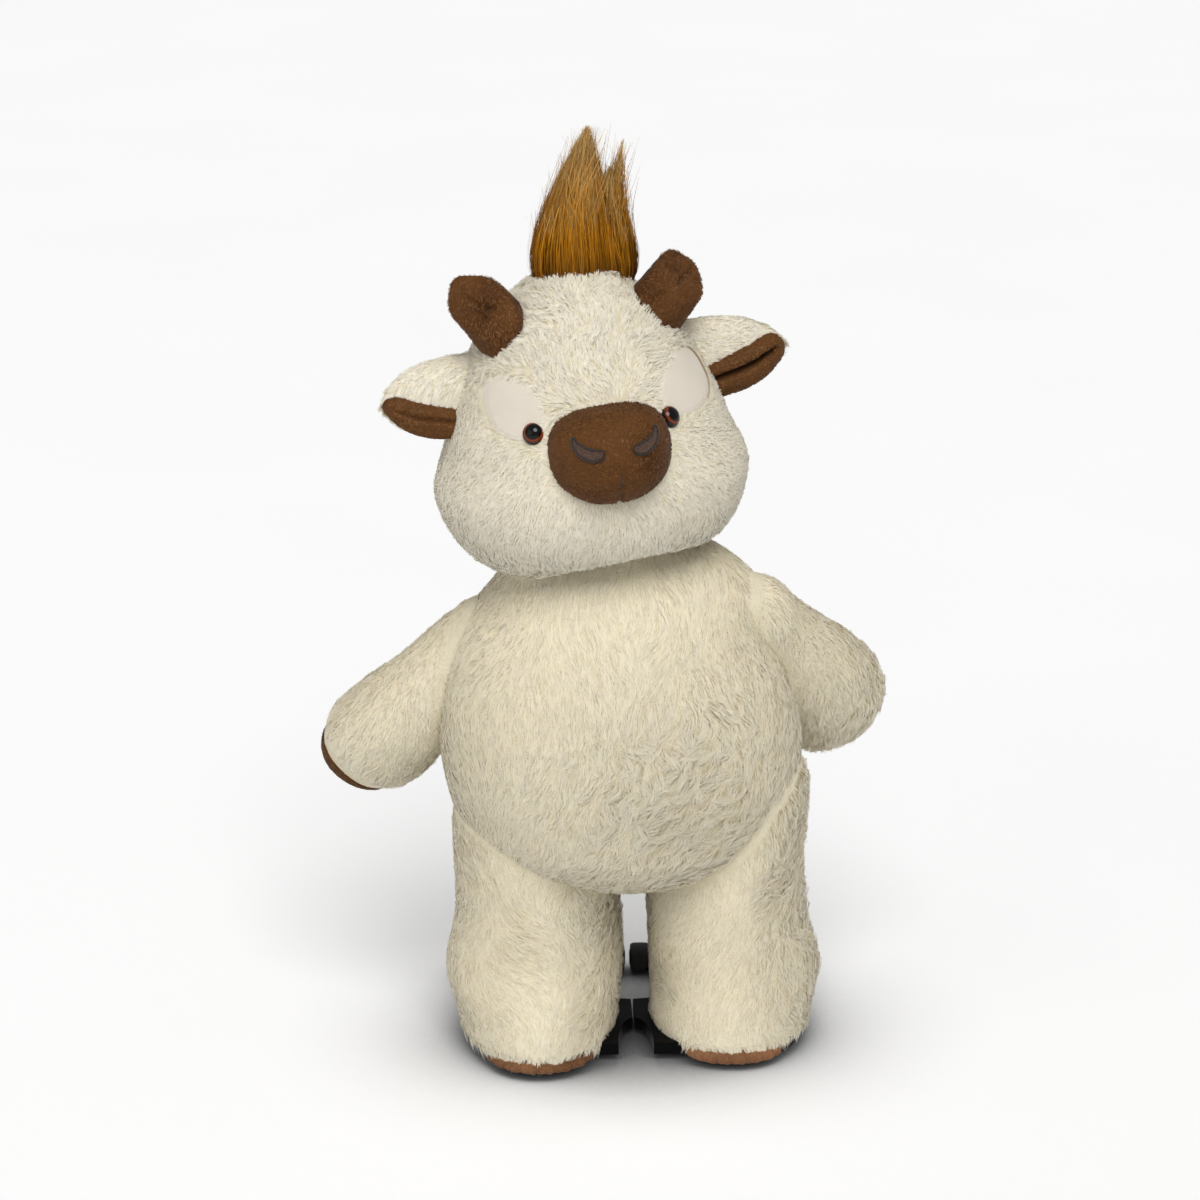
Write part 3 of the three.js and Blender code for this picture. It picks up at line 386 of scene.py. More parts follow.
def muzzle_skin(u, v):
    """The muzzle's rounded box, flat on top and round below, with a stitched groove up its lower middle."""
    across, along = ring(u)
    rise = np.pi * v
    way = xyz(np.sin(rise) * across, np.sin(rise) * along, -np.cos(rise))
    power = muzzle_power(way[..., 2])
    reach = (np.abs(way) ** power[..., None]).sum(-1) ** (-1 / power)
    x, y, z = apart(way * reach[..., None] * [MUZZLE["wide"], MUZZLE["deep"], MUZZLE["tall"]])
    groove = GROOVE["deep"] * hump(x, 0, GROOVE["half_wide"]) * smooth(-6.0, -14.0, z) * (y < 0)
    pucker = 0.5 * np.sin(z * 0.9) * hump(x, 0, 7.0) * smooth(-8.0, -16.0, z)
    return from_head(xyz(x, y + groove + pucker - MUZZLE["sink"], z + MUZZLE["height"] + 0.5 * groove))


def face_depth(x, z, proud=0.0):
    """How far out the head's egg lies on the face at a place across and up."""
    share = egg_share(HEAD, z / HEAD["height"])
    aside = x / crown_share(z) / (HEAD["wide"] * share + proud)
    return -(HEAD["front"] * share + proud) * np.sqrt(np.clip(1 - aside**2, 0, 1))


def horn_middle(name):
    """Where a horn's own frame stands on the head's crown."""
    return np.array([SIDE[name] * HORN["aside"], -HORN["forward"], HORN["height"]])


def horn_skin(name, u, v):
    """A stuffed cone with a flat end, which its gathering thread draws into a pit with folds round it.

    The rows run up the cone's side, round its rim and in over the flat end, and it is tipped outward."""
    around = 2 * np.pi * u
    side, rim, end = np.clip(v / 0.6, 0, 1), np.clip((v - 0.6) / 0.12, 0, 1), np.clip((v - 0.72) / 0.28, 0, 1)
    z = -20.0 + 61.0 * side + 4.0 * np.sin(np.pi / 2 * rim)
    cone = HORN["root"] + (HORN["tip"] - HORN["root"]) * (z + 26.0) / 76.0
    radius = (cone - 4.0 * (1 - np.cos(np.pi / 2 * rim))) * (1 - end)
    radius = radius * (1 + 0.04 * np.cos(2 * around + 0.7) + 0.035 * np.cos(5 * around + SIDE[name]))
    radius = np.maximum(radius - 1.4 * hump(around, 4.2, 0.1) * smooth(5.0, 30.0, z) * (1 - end), 0)
    folds = (0.5 + 0.5 * np.cos(5 * around + 2.0 * SIDE[name])) ** 4 * smooth(14.0, 6.0, radius)
    folds = folds * smooth(0.5, 3.0, radius)
    pit = (9.0 * hump(radius, 0, 4.2) + 3.0 * folds - 1.2 * smooth(13.0, 6.0, radius)) * (end > 0)
    nod = smooth(5.0, 45.0, z)
    x, y = radius * np.cos(around), radius * np.sin(around)
    z = z - pit + HORN_CUT[name] * y * nod - HORN_SHORT[name] * nod
    local = xyz(x - SIDE[name] * HORN_BEND[name] * nod, y - 6.0 * nod, z)
    return from_head(local @ turn_y(HORN["splay"] * SIDE[name]).T + horn_middle(name))


def leaf_share(name, along):
    """An ear's half height along it: rounded at its wide root, then a long taper to its tip."""
    bend = EAR["round"]
    root = np.sqrt(np.clip(1 - (1 - along / bend) ** 2, 0, 1))
    tip = np.clip(1 - (np.clip(along - bend, 0, 1) / (1 - bend)) ** EAR_TAPER[name], 0, 1) ** 0.72
    return np.where(along < bend, root, tip)


def on_ear(name, along, y, z):
    """A place on an ear, a share along it, in the toy's frame."""
    x = SIDE[name] * (EAR["root"] + EAR_LENGTH[name] * along)
    return from_head(xyz(x, EAR["forward"] + y, EAR["height"] + z))


def ear_skin(name, u, v):
    """A flat leaf from the head's side outward, thickened at its root."""
    along = eased(v)
    share = leaf_share(name, along)
    out, up = ring(u)
    return on_ear(name, along, EAR["deep"] * share * out, EAR["tall"] * share * up)


def ear_fold(name, along):
    """The half width of an ear's lining along the ear, and how far its middle lies under the ear's."""
    half = EAR_FOLD[name] * np.sin(np.pi * np.clip(0.1 + 0.62 * along, 0, 1)) ** 0.8
    half = half * np.sqrt(np.clip(1 - (np.clip(along - 0.8, 0, 0.2) / 0.2) ** 2, 0, 1))
    return half, np.maximum(EAR["tall"] * leaf_share(name, along) - half, 0.0)


def slit_share(name, along, up):
    """How deep the slit in an ear's lining is, as a share of the fold."""
    half = ear_fold(name, along)[0]
    ends = smooth(0.1, 0.25, along) * smooth(0.98, 0.86, along)
    return EAR_SLIT[name] * ends * hump(up, 0.12 * half, 1.0 + 0.1 * half)


def ear_lining_skin(name, u, v):
    """A fold of short pile along the ear's lower front, open on a deep slit down its middle."""
    along = 0.1 + 0.9 * eased(v)
    half, drop = ear_fold(name, along)
    half = half * smooth(-0.01, 0.03, v)
    out, up = ring(u)
    up, out = half * up, half * 0.52 * out
    out = np.where(out > 0, out * (1 - slit_share(name, along, up)), out)
    leaf = leaf_share(name, along)
    hang = drop / np.maximum(EAR["tall"] * leaf, 1e-6)
    front = EAR["deep"] * leaf * np.sqrt(np.clip(1 - hang**2, 0, 1)) * 0.9
    return on_ear(name, along, -front - 2.0 - out, up - drop)


def rows(around, along):
    """The places u and v of a closed skin's rows between its poles."""
    return np.meshgrid(np.arange(around) / around, np.linspace(0, 1, along + 1)[1:-1])


def lining_folds(name, around, along):
    """For each point of an ear's lining, how far down the slit it lies, from 0 outside to 1 at the bottom,
    which its finish paints as shade.
    """
    u, v = rows(around, along)
    place = 0.1 + 0.9 * eased(v)
    fold = slit_share(name, place, ear_fold(name, place)[0] * ring(u)[1]) * (ring(u)[0] > 0)
    return {"fold": np.append(fold, [0.0, 0.0])}


def off_slit(name, local):
    """Which points of the head's frame lie clear of the slit in an ear's lining."""
    along = np.clip((np.abs(local[:, 0]) - EAR["root"]) / EAR_LENGTH[name], 0, 1)
    return slit_share(name, along, local[:, 2] - EAR["height"] + ear_fold(name, along)[1]) < 0.25


def outward(points, du, dv):
    """Unit normals from two tangents, turned away from the middle of the points."""
    normals = unit(np.cross(du, dv), 1e-12)
    flip = np.sign(((points - points.reshape(-1, 3).mean(0)) * normals).sum(-1).mean())
    return normals * (flip if flip else 1.0)


def singles(values):
    """Numbers as one row of single precision, as meshes keep them."""
    return np.ascontiguousarray(values, np.float32).ravel()


def new_mesh(name, points, corners, sizes, uvs=None, attributes=None, smooth_faces=True):
    """A mesh from whole arrays: points in metres, corner numbers, face sizes, corner places on the map."""
    mesh = bpy.data.meshes.new(name)
    mesh.vertices.add(len(points))
    mesh.vertices.foreach_set("co", singles(points))
    mesh.loops.add(len(corners))
    mesh.loops.foreach_set("vertex_index", np.ascontiguousarray(corners, np.int32))
    mesh.polygons.add(len(sizes))
    mesh.polygons.foreach_set("loop_start", np.concatenate([[0], np.cumsum(sizes)[:-1]]).astype(np.int32))
    mesh.polygons.foreach_set("use_smooth", np.full(len(sizes), smooth_faces))
    if uvs is not None:
        mesh.uv_layers.new(name="OFBake").data.foreach_set("uv", singles(uvs))
    for key, values in (attributes or {}).items():
        mesh.attributes.new(key, "FLOAT", "POINT").data.foreach_set("value", singles(values))
    mesh.update(calc_edges=True)
    mesh.validate()
    piece = bpy.data.objects.new(name, mesh)
    bpy.context.scene.collection.objects.link(piece)
    return piece


def bands(count, around, closed=False):
    """The corners of the faces between rows of points, and from the last row to the first where closed."""
    i, j = np.meshgrid(np.arange(count if closed else count - 1), np.arange(around), indexing="ij")
    i, j = i.ravel(), j.ravel()
    n, k = (i + 1) % count, (j + 1) % around
    return np.stack([i * around + j, i * around + k, n * around + k, n * around + j], -1)


def inside_out(points, quads):
    """Whether the faces look inward, by the volume that they enclose round the middle of the points."""
    a, b, c = (points[quads[:, n]] - points.mean(0) for n in range(3))
    return (a * np.cross(b, c)).sum() < 0


def closed_skin(name, surface, around, along, material, attributes=None, plump=0.0):
    """A closed mesh of surface(u, v), round in u, with its first and last rows drawn together to poles.

    Plump moves every point out along its normal, up into the foot of the pile."""
    grid = surface(*np.meshgrid(np.arange(around) / around, np.linspace(0, 1, along + 1)))
    points = np.concatenate([grid[1:-1].reshape(-1, 3), grid[0].mean(0)[None], grid[-1].mean(0)[None]])
    quads = bands(along - 1, around)
    j = np.arange(around)
    k = (j + 1) % around
    low, last = len(points) - 2, (along - 2) * around
    fans = [xyz(low, k, j), xyz(low + 1, last + j, last + k)]
    fans = np.concatenate(fans)
    if inside_out(points, quads):
        quads, fans = quads[:, ::-1], fans[:, ::-1]
    sizes = np.repeat([4, 3], [len(quads), len(fans)])
    piece = new_mesh(name, to_metres(points), np.append(quads, fans), sizes, attributes=attributes)
    if plump:
        normals = np.zeros(len(points) * 3, np.float32)
        piece.data.vertex_normals.foreach_get("vector", normals)
        moved = to_metres(points) + normals.reshape(-1, 3) * plump * MM
        piece.data.vertices.foreach_set("co", singles(moved))
        piece.data.update()
    piece.data.materials.append(material)
    return piece


def closed_ring(name, surface, around, along, material):
    """A closed ring of surface(u, v), round both ways, so its last row joins its first."""
    grid = surface(*np.meshgrid(np.arange(around) / around, np.arange(along) / along)).reshape(-1, 3)
    quads = bands(along, around, closed=True)
    if inside_out(grid, quads):
        quads = quads[:, ::-1]
    piece = new_mesh(name, to_metres(grid), quads.ravel(), np.full(len(quads), 4))
    piece.data.materials.append(material)
    return piece


def dress(piece, body, slot, *nodes, fill=None):
    """Attaches a piece to its body and hides the nodes that it stands for; its slot and fill are not used."""
    if body:
        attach(piece, body)
    if nodes:
        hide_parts(*nodes)
    return piece


def scatter(surface, count, seed):
    """Roots spread evenly over surface(u, v) by area, with their unit normals."""
    rng = np.random.default_rng(seed)
    count = int(count * bpy.context.scene.calf_fur.density)
    n, step = 180, 2e-4
    edge = np.linspace(0.0005, 0.9995, n + 1)
    grid = surface(*np.meshgrid(edge, edge))
    area = np.cross(grid[1:, 1:] - grid[:-1, :-1], grid[1:, :-1] - grid[:-1, 1:])
    area = np.linalg.norm(area, axis=-1).ravel()
    cell = rng.choice(n * n, count, p=area / area.sum())
    u = edge[cell % n] + rng.random(count) * (edge[1] - edge[0])
    v = edge[cell // n] + rng.random(count) * (edge[1] - edge[0])
    points = surface(u, v)
    du, dv = surface(u + step, v) - points, surface(u, np.minimum(v + step, 0.9999)) - points
    return points, outward(points, du, dv), rng


def swirl(points, size, seed):
    """Three slow waves of position, between -1 and 1, that vary over about size millimetres."""
    rng = np.random.default_rng(seed)
    total = np.zeros(points.shape[:-1] + (3,))
    for _ in range(5):
        wave = rng.normal(size=(3, 3)) / size
        total += np.sin(points @ wave + rng.random(3) * 2 * np.pi)
    return total / 2.2


def down_comb(points, seed, swirl_share=0.55, size=34.0):
    """Downward, turned here and there by slow waves."""
    return np.array([0.0, 0.0, -1.0]) + swirl(points, size, seed) * swirl_share


def locks(points, size, seed):
    """The nearest of jittered cell centres for each point, and four fixed random shares of that cell."""
    base = np.floor(points / size).astype(np.int64)
    best = np.full(len(points), np.inf)
    centre, shares = np.zeros_like(points), np.zeros((len(points), 4))
    for offset in np.ndindex(3, 3, 3):
        cell = base + np.array(offset) - 1
        mix = cell @ np.array([73856093, 19349663, 83492791]) + seed * 2654435
        bits = [((mix * k) ^ ((mix * k) >> 15)) * 2246822519 & 0xFFFFFFFF for k in (1, 3, 7, 13, 29, 41, 57)]
        random = np.stack(bits, -1) / 4294967296.0
        spot = (cell + random[:, :3]) * size
        distance = ((spot - points) ** 2).sum(-1)
        nearer = distance < best
        best = np.where(nearer, distance, best)
        centre[nearer], shares[nearer] = spot[nearer], random[nearer, 3:7]
    return centre, shares


def thinned(keep, *arrays):
    """The chosen rows of several arrays."""
    return tuple(a[keep] for a in arrays)


def pile(name, roots, normals, comb, rng, length, material, body, tousle, lock=1.0, width=None, **manner):
    """Strands over all the roots, shared out by their place round the upright so that no piece has too many.

    Some of each share cast shadows on the rest, more of them where the pile is tousled.
    Lock is a share of the settings' lock, or millimetres where a width is given."""
    fur = bpy.context.scene.calf_fur
    if width is None:
        width, lock = fur.strand / MM, fur.lock / MM * lock
    middle = roots.mean(0)
    order = np.argsort(np.arctan2(roots[:, 1] - middle[1], roots[:, 0] - middle[0]))
    groups = np.array_split(order, max(1, math.ceil(len(roots) / PILE_LIMIT)))
    length, tousle = np.broadcast_to(length, len(roots)), np.broadcast_to(tousle, len(roots))
    casts = rng.random(len(roots)) < 0.26 + 0.6 * tousle
    for number, group in enumerate(groups, 1):
        for coat, chosen in (("under", group[~casts[group]]), ("over", group[casts[group]])):
            label = f"{name}_{coat}_{number}" if len(groups) > 1 else f"{name}_{coat}"
            facts = thinned(chosen, roots, normals, comb, length, tousle)
            piece = strands(label, *facts, rng, width, lock, material, **manner)
            piece.visible_shadow = coat == "over"
            if isinstance(body, str):
                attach(piece, body)
            else:
                body(piece)


def strands(name, roots, normals, comb, length, tousle, rng, width, lock, material, rise=0.3, gather=0.7,
            sway=1.4, slot="cream_plush"):
    """Strands of pile as tapering blades on bent paths from their roots.

    Each path leaves along the comb and the skin's normal, bows up by rise of its length and lies down again,
    and its end is drawn towards the middle of its lock, so that the strands gather into pointed locks.
    Tousle, from 0 to 1, says how far locks turn off the comb, curl, and gather."""
    count = len(roots)
    sway, gather = sway * tousle, gather * (0.12 + 0.88 * tousle[:, None])
    centre, shares = locks(roots, lock, SEED)
    broad = locks(roots, lock * 3.4, SEED + 1)[1]
    turn = (shares[:, 0] - 0.5) * sway + (broad[:, 0] - 0.5) * sway + rng.normal(0, 0.13, count)
    comb = unit(comb - normals * (comb * normals).sum(-1, keepdims=True))
    heading = comb * np.cos(turn)[:, None] + np.cross(normals, comb) * np.sin(turn)[:, None]
    sideways = np.cross(normals, heading)
    pull = centre - roots
    pull -= normals * (pull * normals).sum(-1, keepdims=True)
    pull *= np.minimum(1, lock * 0.7 / np.maximum(np.linalg.norm(pull, axis=-1, keepdims=True), 1e-6))
    long = (length * (0.78 + 0.3 * rng.random(count)) * (1 + (shares[:, 1] - 0.5) * 0.3 * tousle))[:, None]
    curl = ((shares[:, 2] - 0.5) * (0.12 + 0.5 * tousle))[:, None]
    lift = rise * (0.75 + tousle * (0.4 * shares[:, 3] + 0.4 * broad[:, 3]))[:, None]
    lift = lift * (0.8 + 0.4 * rng.random((count, 1)))
    start = roots - normals * 0.6
    bow = roots + heading * long * 0.34 + normals * long * lift * 1.5
    bow = bow + sideways * long * curl + pull * gather * 0.3
    tip = roots + heading * long * 0.9 + normals * long * lift * 0.45
    tip = tip - sideways * long * curl * 0.3 + pull * gather
    twist = rng.normal(0, 0.45, (count, 1))
    places, ways, alongs = [], [], []
    for t, share in ((0.0, 1.0), (0.5, 0.9), (1.0, 0.0)):
        spot = start * (1 - t) ** 2 + bow * 2 * t * (1 - t) + tip * t**2
        tangent = (bow - start) * (1 - t) + (tip - bow) * t
        edge = unit(np.cross(tangent, normals)) * np.cos(twist) + normals * np.sin(twist)
        edge = edge * width * share / 2
        tangent = unit(tangent)
        blade = np.cross(edge / np.maximum(width * share / 2, 1e-9), tangent) if share else normals
        blade = blade * np.sign((blade * normals).sum(-1, keepdims=True) + 1e-9)
        for sign in (-1.0, 1.0) if share else (0.0,):
            places.append(spot + edge * sign)
            ways.append(normals * 0.86 + blade * 0.14)
            alongs.append(np.full(count, t))
    order = np.stack(places, 1)
    facing = np.cross(order[:, 1] - order[:, 0], order[:, 2] - order[:, 0])
    turned = ((facing * normals).sum(-1) < 0)[:, None]
    local = np.where(turned, [1, 0, 2, 3, 3, 2, 4], [0, 1, 3, 2, 2, 3, 4])
    corners = (np.arange(count)[:, None] * 5 + local).ravel()
    on_map = np.array([[0, 0], [0.7, 0], [0, 0.35], [0.7, 0.35], [0.35, 0.7]])[local]
    shade = shares[:, 3] * 0.6 + rng.random(count) * 0.4
    facts = {"along": np.stack(alongs, 1).ravel(), "shade": np.repeat(shade, 5)}
    points = to_metres(order.reshape(-1, 3))
    piece = new_mesh(name, points, corners, np.tile([4, 3], count), map_cells(count, on_map), facts)
    shine_along(piece, np.stack(ways, 1).reshape(-1, 3))
    piece.data.materials.append(material)
    return piece


def map_cells(count, on_map):
    """Each strand's corners put in its own cell of the map, so that none overlaps another."""
    side = max(1, math.ceil(math.sqrt(count)))
    number = np.arange(count)
    return (np.stack([number % side, number // side], -1)[:, None] + 0.15 + on_map) / side


def shine_along(piece, ways):
    """Gives a piece's points normals near the skin's own, so that pile shades softly."""
    ways = ways / np.linalg.norm(ways, axis=-1, keepdims=True)
    piece.data.normals_split_custom_set_from_vertices(ways.astype(np.float32))


def colour(code):
    """An sRGB hex colour as linear red, green and blue."""
    parts = [int(code[i : i + 2], 16) / 255 for i in (1, 3, 5)]
    return tuple(c / 12.92 if c <= 0.04045 else ((c + 0.055) / 1.055) ** 2.4 for c in parts)


def dimmed(tone, share):
    """A colour with a share of its light."""
    return tuple(c * share for c in tone)


def add(tree, kind, settings=None, links=None):
    """Adds one shader node: settings fill its sockets, its own properties or a ramp's stops, and links join
    other nodes' sockets, or their first outputs, to it."""
    node = tree.nodes.new("ShaderNode" + kind)
    for key, value in (settings or {}).items():
        if key == "stops":
            ramp = node.color_ramp.elements
            while len(ramp) < len(value):
                ramp.new(1.0)
            for element, (place, tone) in zip(ramp, value):
                element.position, element.color = place, (*tone, 1.0)
        elif isinstance(key, int) or key in node.inputs:
            node.inputs[key].default_value = value
        else:
            setattr(node, key, value)
    for key, source in (links or {}).items():
        tree.links.new(getattr(source, "outputs", [source])[0], node.inputs[key])
    return node


def new_material(name):
    """An empty material, its tree, and the link to the place in space that its patterns read."""
    material = bpy.data.materials.new(name)
    material.use_nodes = True
    tree = material.node_tree
    tree.nodes.clear()
    return material, tree, {"Vector": add(tree, "TexCoord").outputs["Object"]}


def finished(material, tree, settings, links):
    """The material with its surface joined to its output."""
    add(tree, "OutputMaterial", {}, {0: add(tree, "BsdfPrincipled", settings, links)})
    return material


def stock(maker, name, *tones, **settings):
    """A finish by its name, made the first time that it is asked for."""
    return bpy.data.materials.get(name) or maker(name, *tones, **settings)


def acrylic_pile(name, root, middle, tip, sheen=0.2, spread=0.05, shine=0.25, full=0.45):
    """Long brushed acrylic fibres coloured from root to end, the darker, warmer roots painted shade deep in
    the pile and the paler ends painted light on its surface, and locks of differing tones.
    """
    material, tree, here = new_material(name)
    along = add(tree, "Attribute", {"attribute_name": "along"})
    shade = add(tree, "Attribute", {"attribute_name": "shade"})
    # painted shade and light along each strand: darker roots deep in the pile, paler ends on its surface
    stops = [(0.0, root), (full, middle), (1.0, tip)]
    tone = add(tree, "ValToRGB", {"stops": stops}, {"Fac": along.outputs["Fac"]})
    cloud = add(tree, "TexNoise", {"Scale": 28.0, "Detail": 3.0}, here)
    both = add(tree, "Math", {"operation": "ADD"}, {0: shade.outputs["Fac"], 1: cloud})
    light = add(tree, "MapRange", {1: 0.3, 2: 1.7, 3: 1 - spread, 4: 1 + spread}, {0: both})
    mixed = add(tree, "VectorMath", {"operation": "SCALE"}, {0: tone, "Scale": light})
    gloss = {"Roughness": 0.62, "Sheen Weight": sheen, "Sheen Roughness": 0.4, "Specular IOR Level": shine}
    return finished(material, tree, gloss, {"Base Color": mixed})


def knitted_back(name, low, high):
    """The knitted ground that the pile stands in: dull, with fine loops every 1.5 mm, its tone darker than
    the pile's as painted shade deep in the pile.
    """
    material, tree, here = new_material(name)
    cloud = add(tree, "TexNoise", {"Scale": 60.0, "Detail": 5.0}, here)
    loops = add(tree, "TexVoronoi", {"Scale": 650.0}, here)
    tone = add(tree, "ValToRGB", {"stops": [(0.3, low), (0.7, high)]}, {"Fac": cloud})
    bump = add(tree, "Bump", {"Strength": 0.5, "Distance": 0.0008}, {"Height": loops})
    gloss = {"Roughness": 0.9, "Sheen Weight": 0.2}
    return finished(material, tree, gloss, {"Base Color": tone, "Normal": bump})


def short_minky(name, low, high, nap=900.0, folded=False):
    """Short velvety polyester pile: a soft sheen, patches brushed lighter and darker, a nap of about 1 mm.

    A folded piece gets painted shade down its slit, by its fold attribute, where little light gets in."""
    material, tree, here = new_material(name)
    brushed = add(tree, "TexNoise", {"Scale": 26.0, "Detail": 2.0, "Distortion": 0.4}, here)
    fine = add(tree, "TexNoise", {"Scale": nap, "Detail": 3.0, "Roughness": 0.7}, here)
    both = add(tree, "Math", {"operation": "MULTIPLY_ADD", 1: 0.55}, {0: fine, 2: brushed})
    base = add(tree, "ValToRGB", {"stops": [(0.45, low), (0.9, high)]}, {"Fac": both})
    if folded:
        # painted shade down the lining's slit, from its fold share
        fold = add(tree, "Attribute", {"attribute_name": "fold"})
        shadow = add(tree, "MapRange", {3: 1.0, 4: 0.12}, {0: fold.outputs["Fac"]})
        base = add(tree, "VectorMath", {"operation": "SCALE"}, {0: base, "Scale": shadow})
    bump = add(tree, "Bump", {"Strength": 0.55, "Distance": 0.0009}, {"Height": fine})
    gloss = {"Roughness": 0.75, "Sheen Weight": 0.12, "Sheen Roughness": 0.3, "Specular IOR Level": 0.1}
    return finished(material, tree, gloss, {"Base Color": base, "Normal": bump})


def stitched_thread(name, low, high):
    """Rayon embroidery thread: fine twisted strands about 0.4 mm apart with a soft shine along them."""
    material, tree, here = new_material(name)
    twist = add(tree, "TexNoise", {"Scale": 1800.0, "Detail": 2.0}, here)
    tone = add(tree, "ValToRGB", {"stops": [(0.35, low), (0.65, high)]}, {"Fac": twist})
    bump = add(tree, "Bump", {"Strength": 0.5, "Distance": 0.0003}, {"Height": twist})
    gloss = {"Roughness": 0.5, "Sheen Weight": 0.15}
    return finished(material, tree, gloss, {"Base Color": tone, "Normal": bump})


def moulded_plastic(name, tone, gloss=0.45, grain=1400.0, depth=0.00015, shine=0.5):
    """Injection moulded plastic: even colour, a fine spark-etched grain and slightly uneven gloss."""
    material, tree, here = new_material(name)
    etched = add(tree, "TexNoise", {"Scale": grain, "Detail": 2.0}, here)
    haze = add(tree, "TexNoise", {"Scale": 40.0, "Detail": 3.0}, here)
    rough = add(tree, "MapRange", {3: gloss - 0.07, 4: gloss + 0.09}, {0: haze})
    tint = add(tree, "ValToRGB", {"stops": [(0.2, dimmed(tone, 0.88)), (0.8, tone)]}, {"Fac": haze})
    bump = add(tree, "Bump", {"Strength": 0.3, "Distance": depth}, {"Height": etched})
    links = {"Base Color": tint, "Roughness": rough, "Normal": bump}
    return finished(material, tree, {"IOR": 1.5, "Specular IOR Level": shine}, links)


def drawn_steel(name, stretch=(20.0, 900.0, 900.0)):
    """Cold drawn bright steel: fine draw lines along the bar and a satin gloss."""
    material, tree, here = new_material(name)
    lines = add(tree, "Mapping", {"Scale": stretch}, here)
    draw = add(tree, "TexNoise", {"Scale": 1.0, "Detail": 4.0}, {"Vector": lines})
    stops = [(0.3, colour("#A9ABAE")), (0.7, colour("#C9CBCD"))]
    tint = add(tree, "ValToRGB", {"stops": stops}, {"Fac": draw})
    rough = add(tree, "MapRange", {3: 0.22, 4: 0.42}, {0: draw})
    return finished(material, tree, {"Metallic": 1.0}, {"Base Color": tint, "Roughness": rough})


def cast_eye(name, amber):
    """Clear cast acrylic over a painted ring: black pupil, amber ring darkening to its rim, high polish."""
    material, tree, _ = new_material(name)
    reach = add(tree, "Attribute", {"attribute_name": "ring"})
    black = colour("#050404")
    stops = [(0.0, black), (0.66, black), (0.75, amber), (0.93, colour("#4A1A07")), (0.99, colour("#0C0503"))]
    tone = add(tree, "ValToRGB", {"stops": stops}, {"Fac": reach.outputs["Fac"]})
    gloss = {"Roughness": 0.08, "IOR": 1.49, "Specular IOR Level": 0.25}
    gloss |= {"Coat Weight": 0.2, "Coat Roughness": 0.03}
    return finished(material, tree, gloss, {"Base Color": tone})


def length_of(label, text, default):
    """A length setting, in metres."""
    return bpy.props.FloatProperty(name=label, description=text, default=default, unit="LENGTH")


def tone_of(label, text, code):
    """A colour setting, from its sRGB hex default."""
    return bpy.props.FloatVectorProperty(name=label, description=text, default=colour(code), subtype="COLOR")


class CalfFurSettings(bpy.types.PropertyGroup):
    """Sizes and colours of the long pile."""

    body_length: length_of("Body pile", "Length of the pile on the belly and legs", 0.0145)
    head_length: length_of("Head pile", "Length of the pile on the head and ears", 0.0105)
    strand: length_of("Strand", "Width of one drawn strand", 0.00046)
    lock: length_of("Lock", "Distance between the middles of two locks", 0.0068)
    density: bpy.props.FloatProperty(
        name="Density", description="Share of the full number of strands", default=1.0, subtype="FACTOR"
    )
    # The darker roots are painted shade deep in the pile and the paler tips painted light on its surface, on
    # the body and the head alike.
    root: tone_of("Roots", "Colour at the roots", "#E3D3A9")
    middle: tone_of("Middle", "Colour halfway along", "#EFE6CD")
    tip: tone_of("Tips", "Colour of the ends", "#F5F0DF")
    head_root: tone_of("Head roots", "Colour at the roots on the head", "#EEE4C8")
    head_middle: tone_of("Head middle", "Colour halfway along on the head", "#F6EFDC")
    head_tip: tone_of("Head tips", "Colour of the ends on the head", "#FBF7EB")


class CalfFaceSettings(bpy.types.PropertyGroup):
    """Colours of the face, horns and ear linings."""

    minky_dark: tone_of("Minky shade", "Darker colour of the short brown pile", "#3B210E")
    minky_light: tone_of("Minky light", "Lighter colour of the short brown pile", "#6C4623")
    minky_tip: tone_of("Minky tips", "Colour of the ends of the short brown pile", "#85592F")
    amber: tone_of("Eye ring", "Colour of the ring round the pupil", "#8C3C12")
    patch: tone_of("Patches", "Colour of the felt patches", "#EEE4D4")


class CalfTuftSettings(bpy.types.PropertyGroup):
    """Size and colours of the hair tuft."""

    strands: bpy.props.IntProperty(name="Strands", description="Number of drawn hairs", default=8500)
    strand: length_of("Hair", "Width of one drawn hair", 0.0006)
    # The darker roots are painted shade inside the tuft and the paler ends painted highlight on it.
    root: tone_of("Roots", "Colour at the roots", "#5A3000")
    middle: tone_of("Middle", "Colour halfway up", "#B87804")
    tip: tone_of("Tips", "Colour of the ends", "#CDA868")


class CalfStageSettings(bpy.types.PropertyGroup):
    """Lamps and floor."""

    key: bpy.props.FloatProperty(name="Key lamp", description="Strength of the broad far lamp", default=1.78)
    fill: bpy.props.FloatProperty(
        name="Fill lamp", description="Strength of the lamp on the other side", default=4.0, subtype="POWER"
    )
    room: bpy.props.FloatProperty(name="Room light", description="Strength of light all round", default=0.36)


def belly_finish(context):
    """The long pile's finish on the body."""
    fur = context.scene.calf_fur
    return stock(acrylic_pile, "acrylic_pile_brushed", fur.root, fur.middle, fur.tip)


def head_finish(context):
    """The shorter pile's finish on the head."""
    fur = context.scene.calf_fur
    return stock(acrylic_pile, "acrylic_pile_sheared", fur.head_root, fur.head_middle, fur.head_tip)


def ground():
    """The finish of the skins under the pile."""
    # tones darker than the pile's: painted shade deep in the pile
    return stock(knitted_back, "knitted_pile_ground", colour("#DDD2B3"), colour("#EAE0C6"))


def minky(context, name="minky_short_pile", **settings):
    """The finish of the brown pieces."""
    face = context.scene.calf_face
    return stock(short_minky, name, face.minky_dark, face.minky_light, **settings)


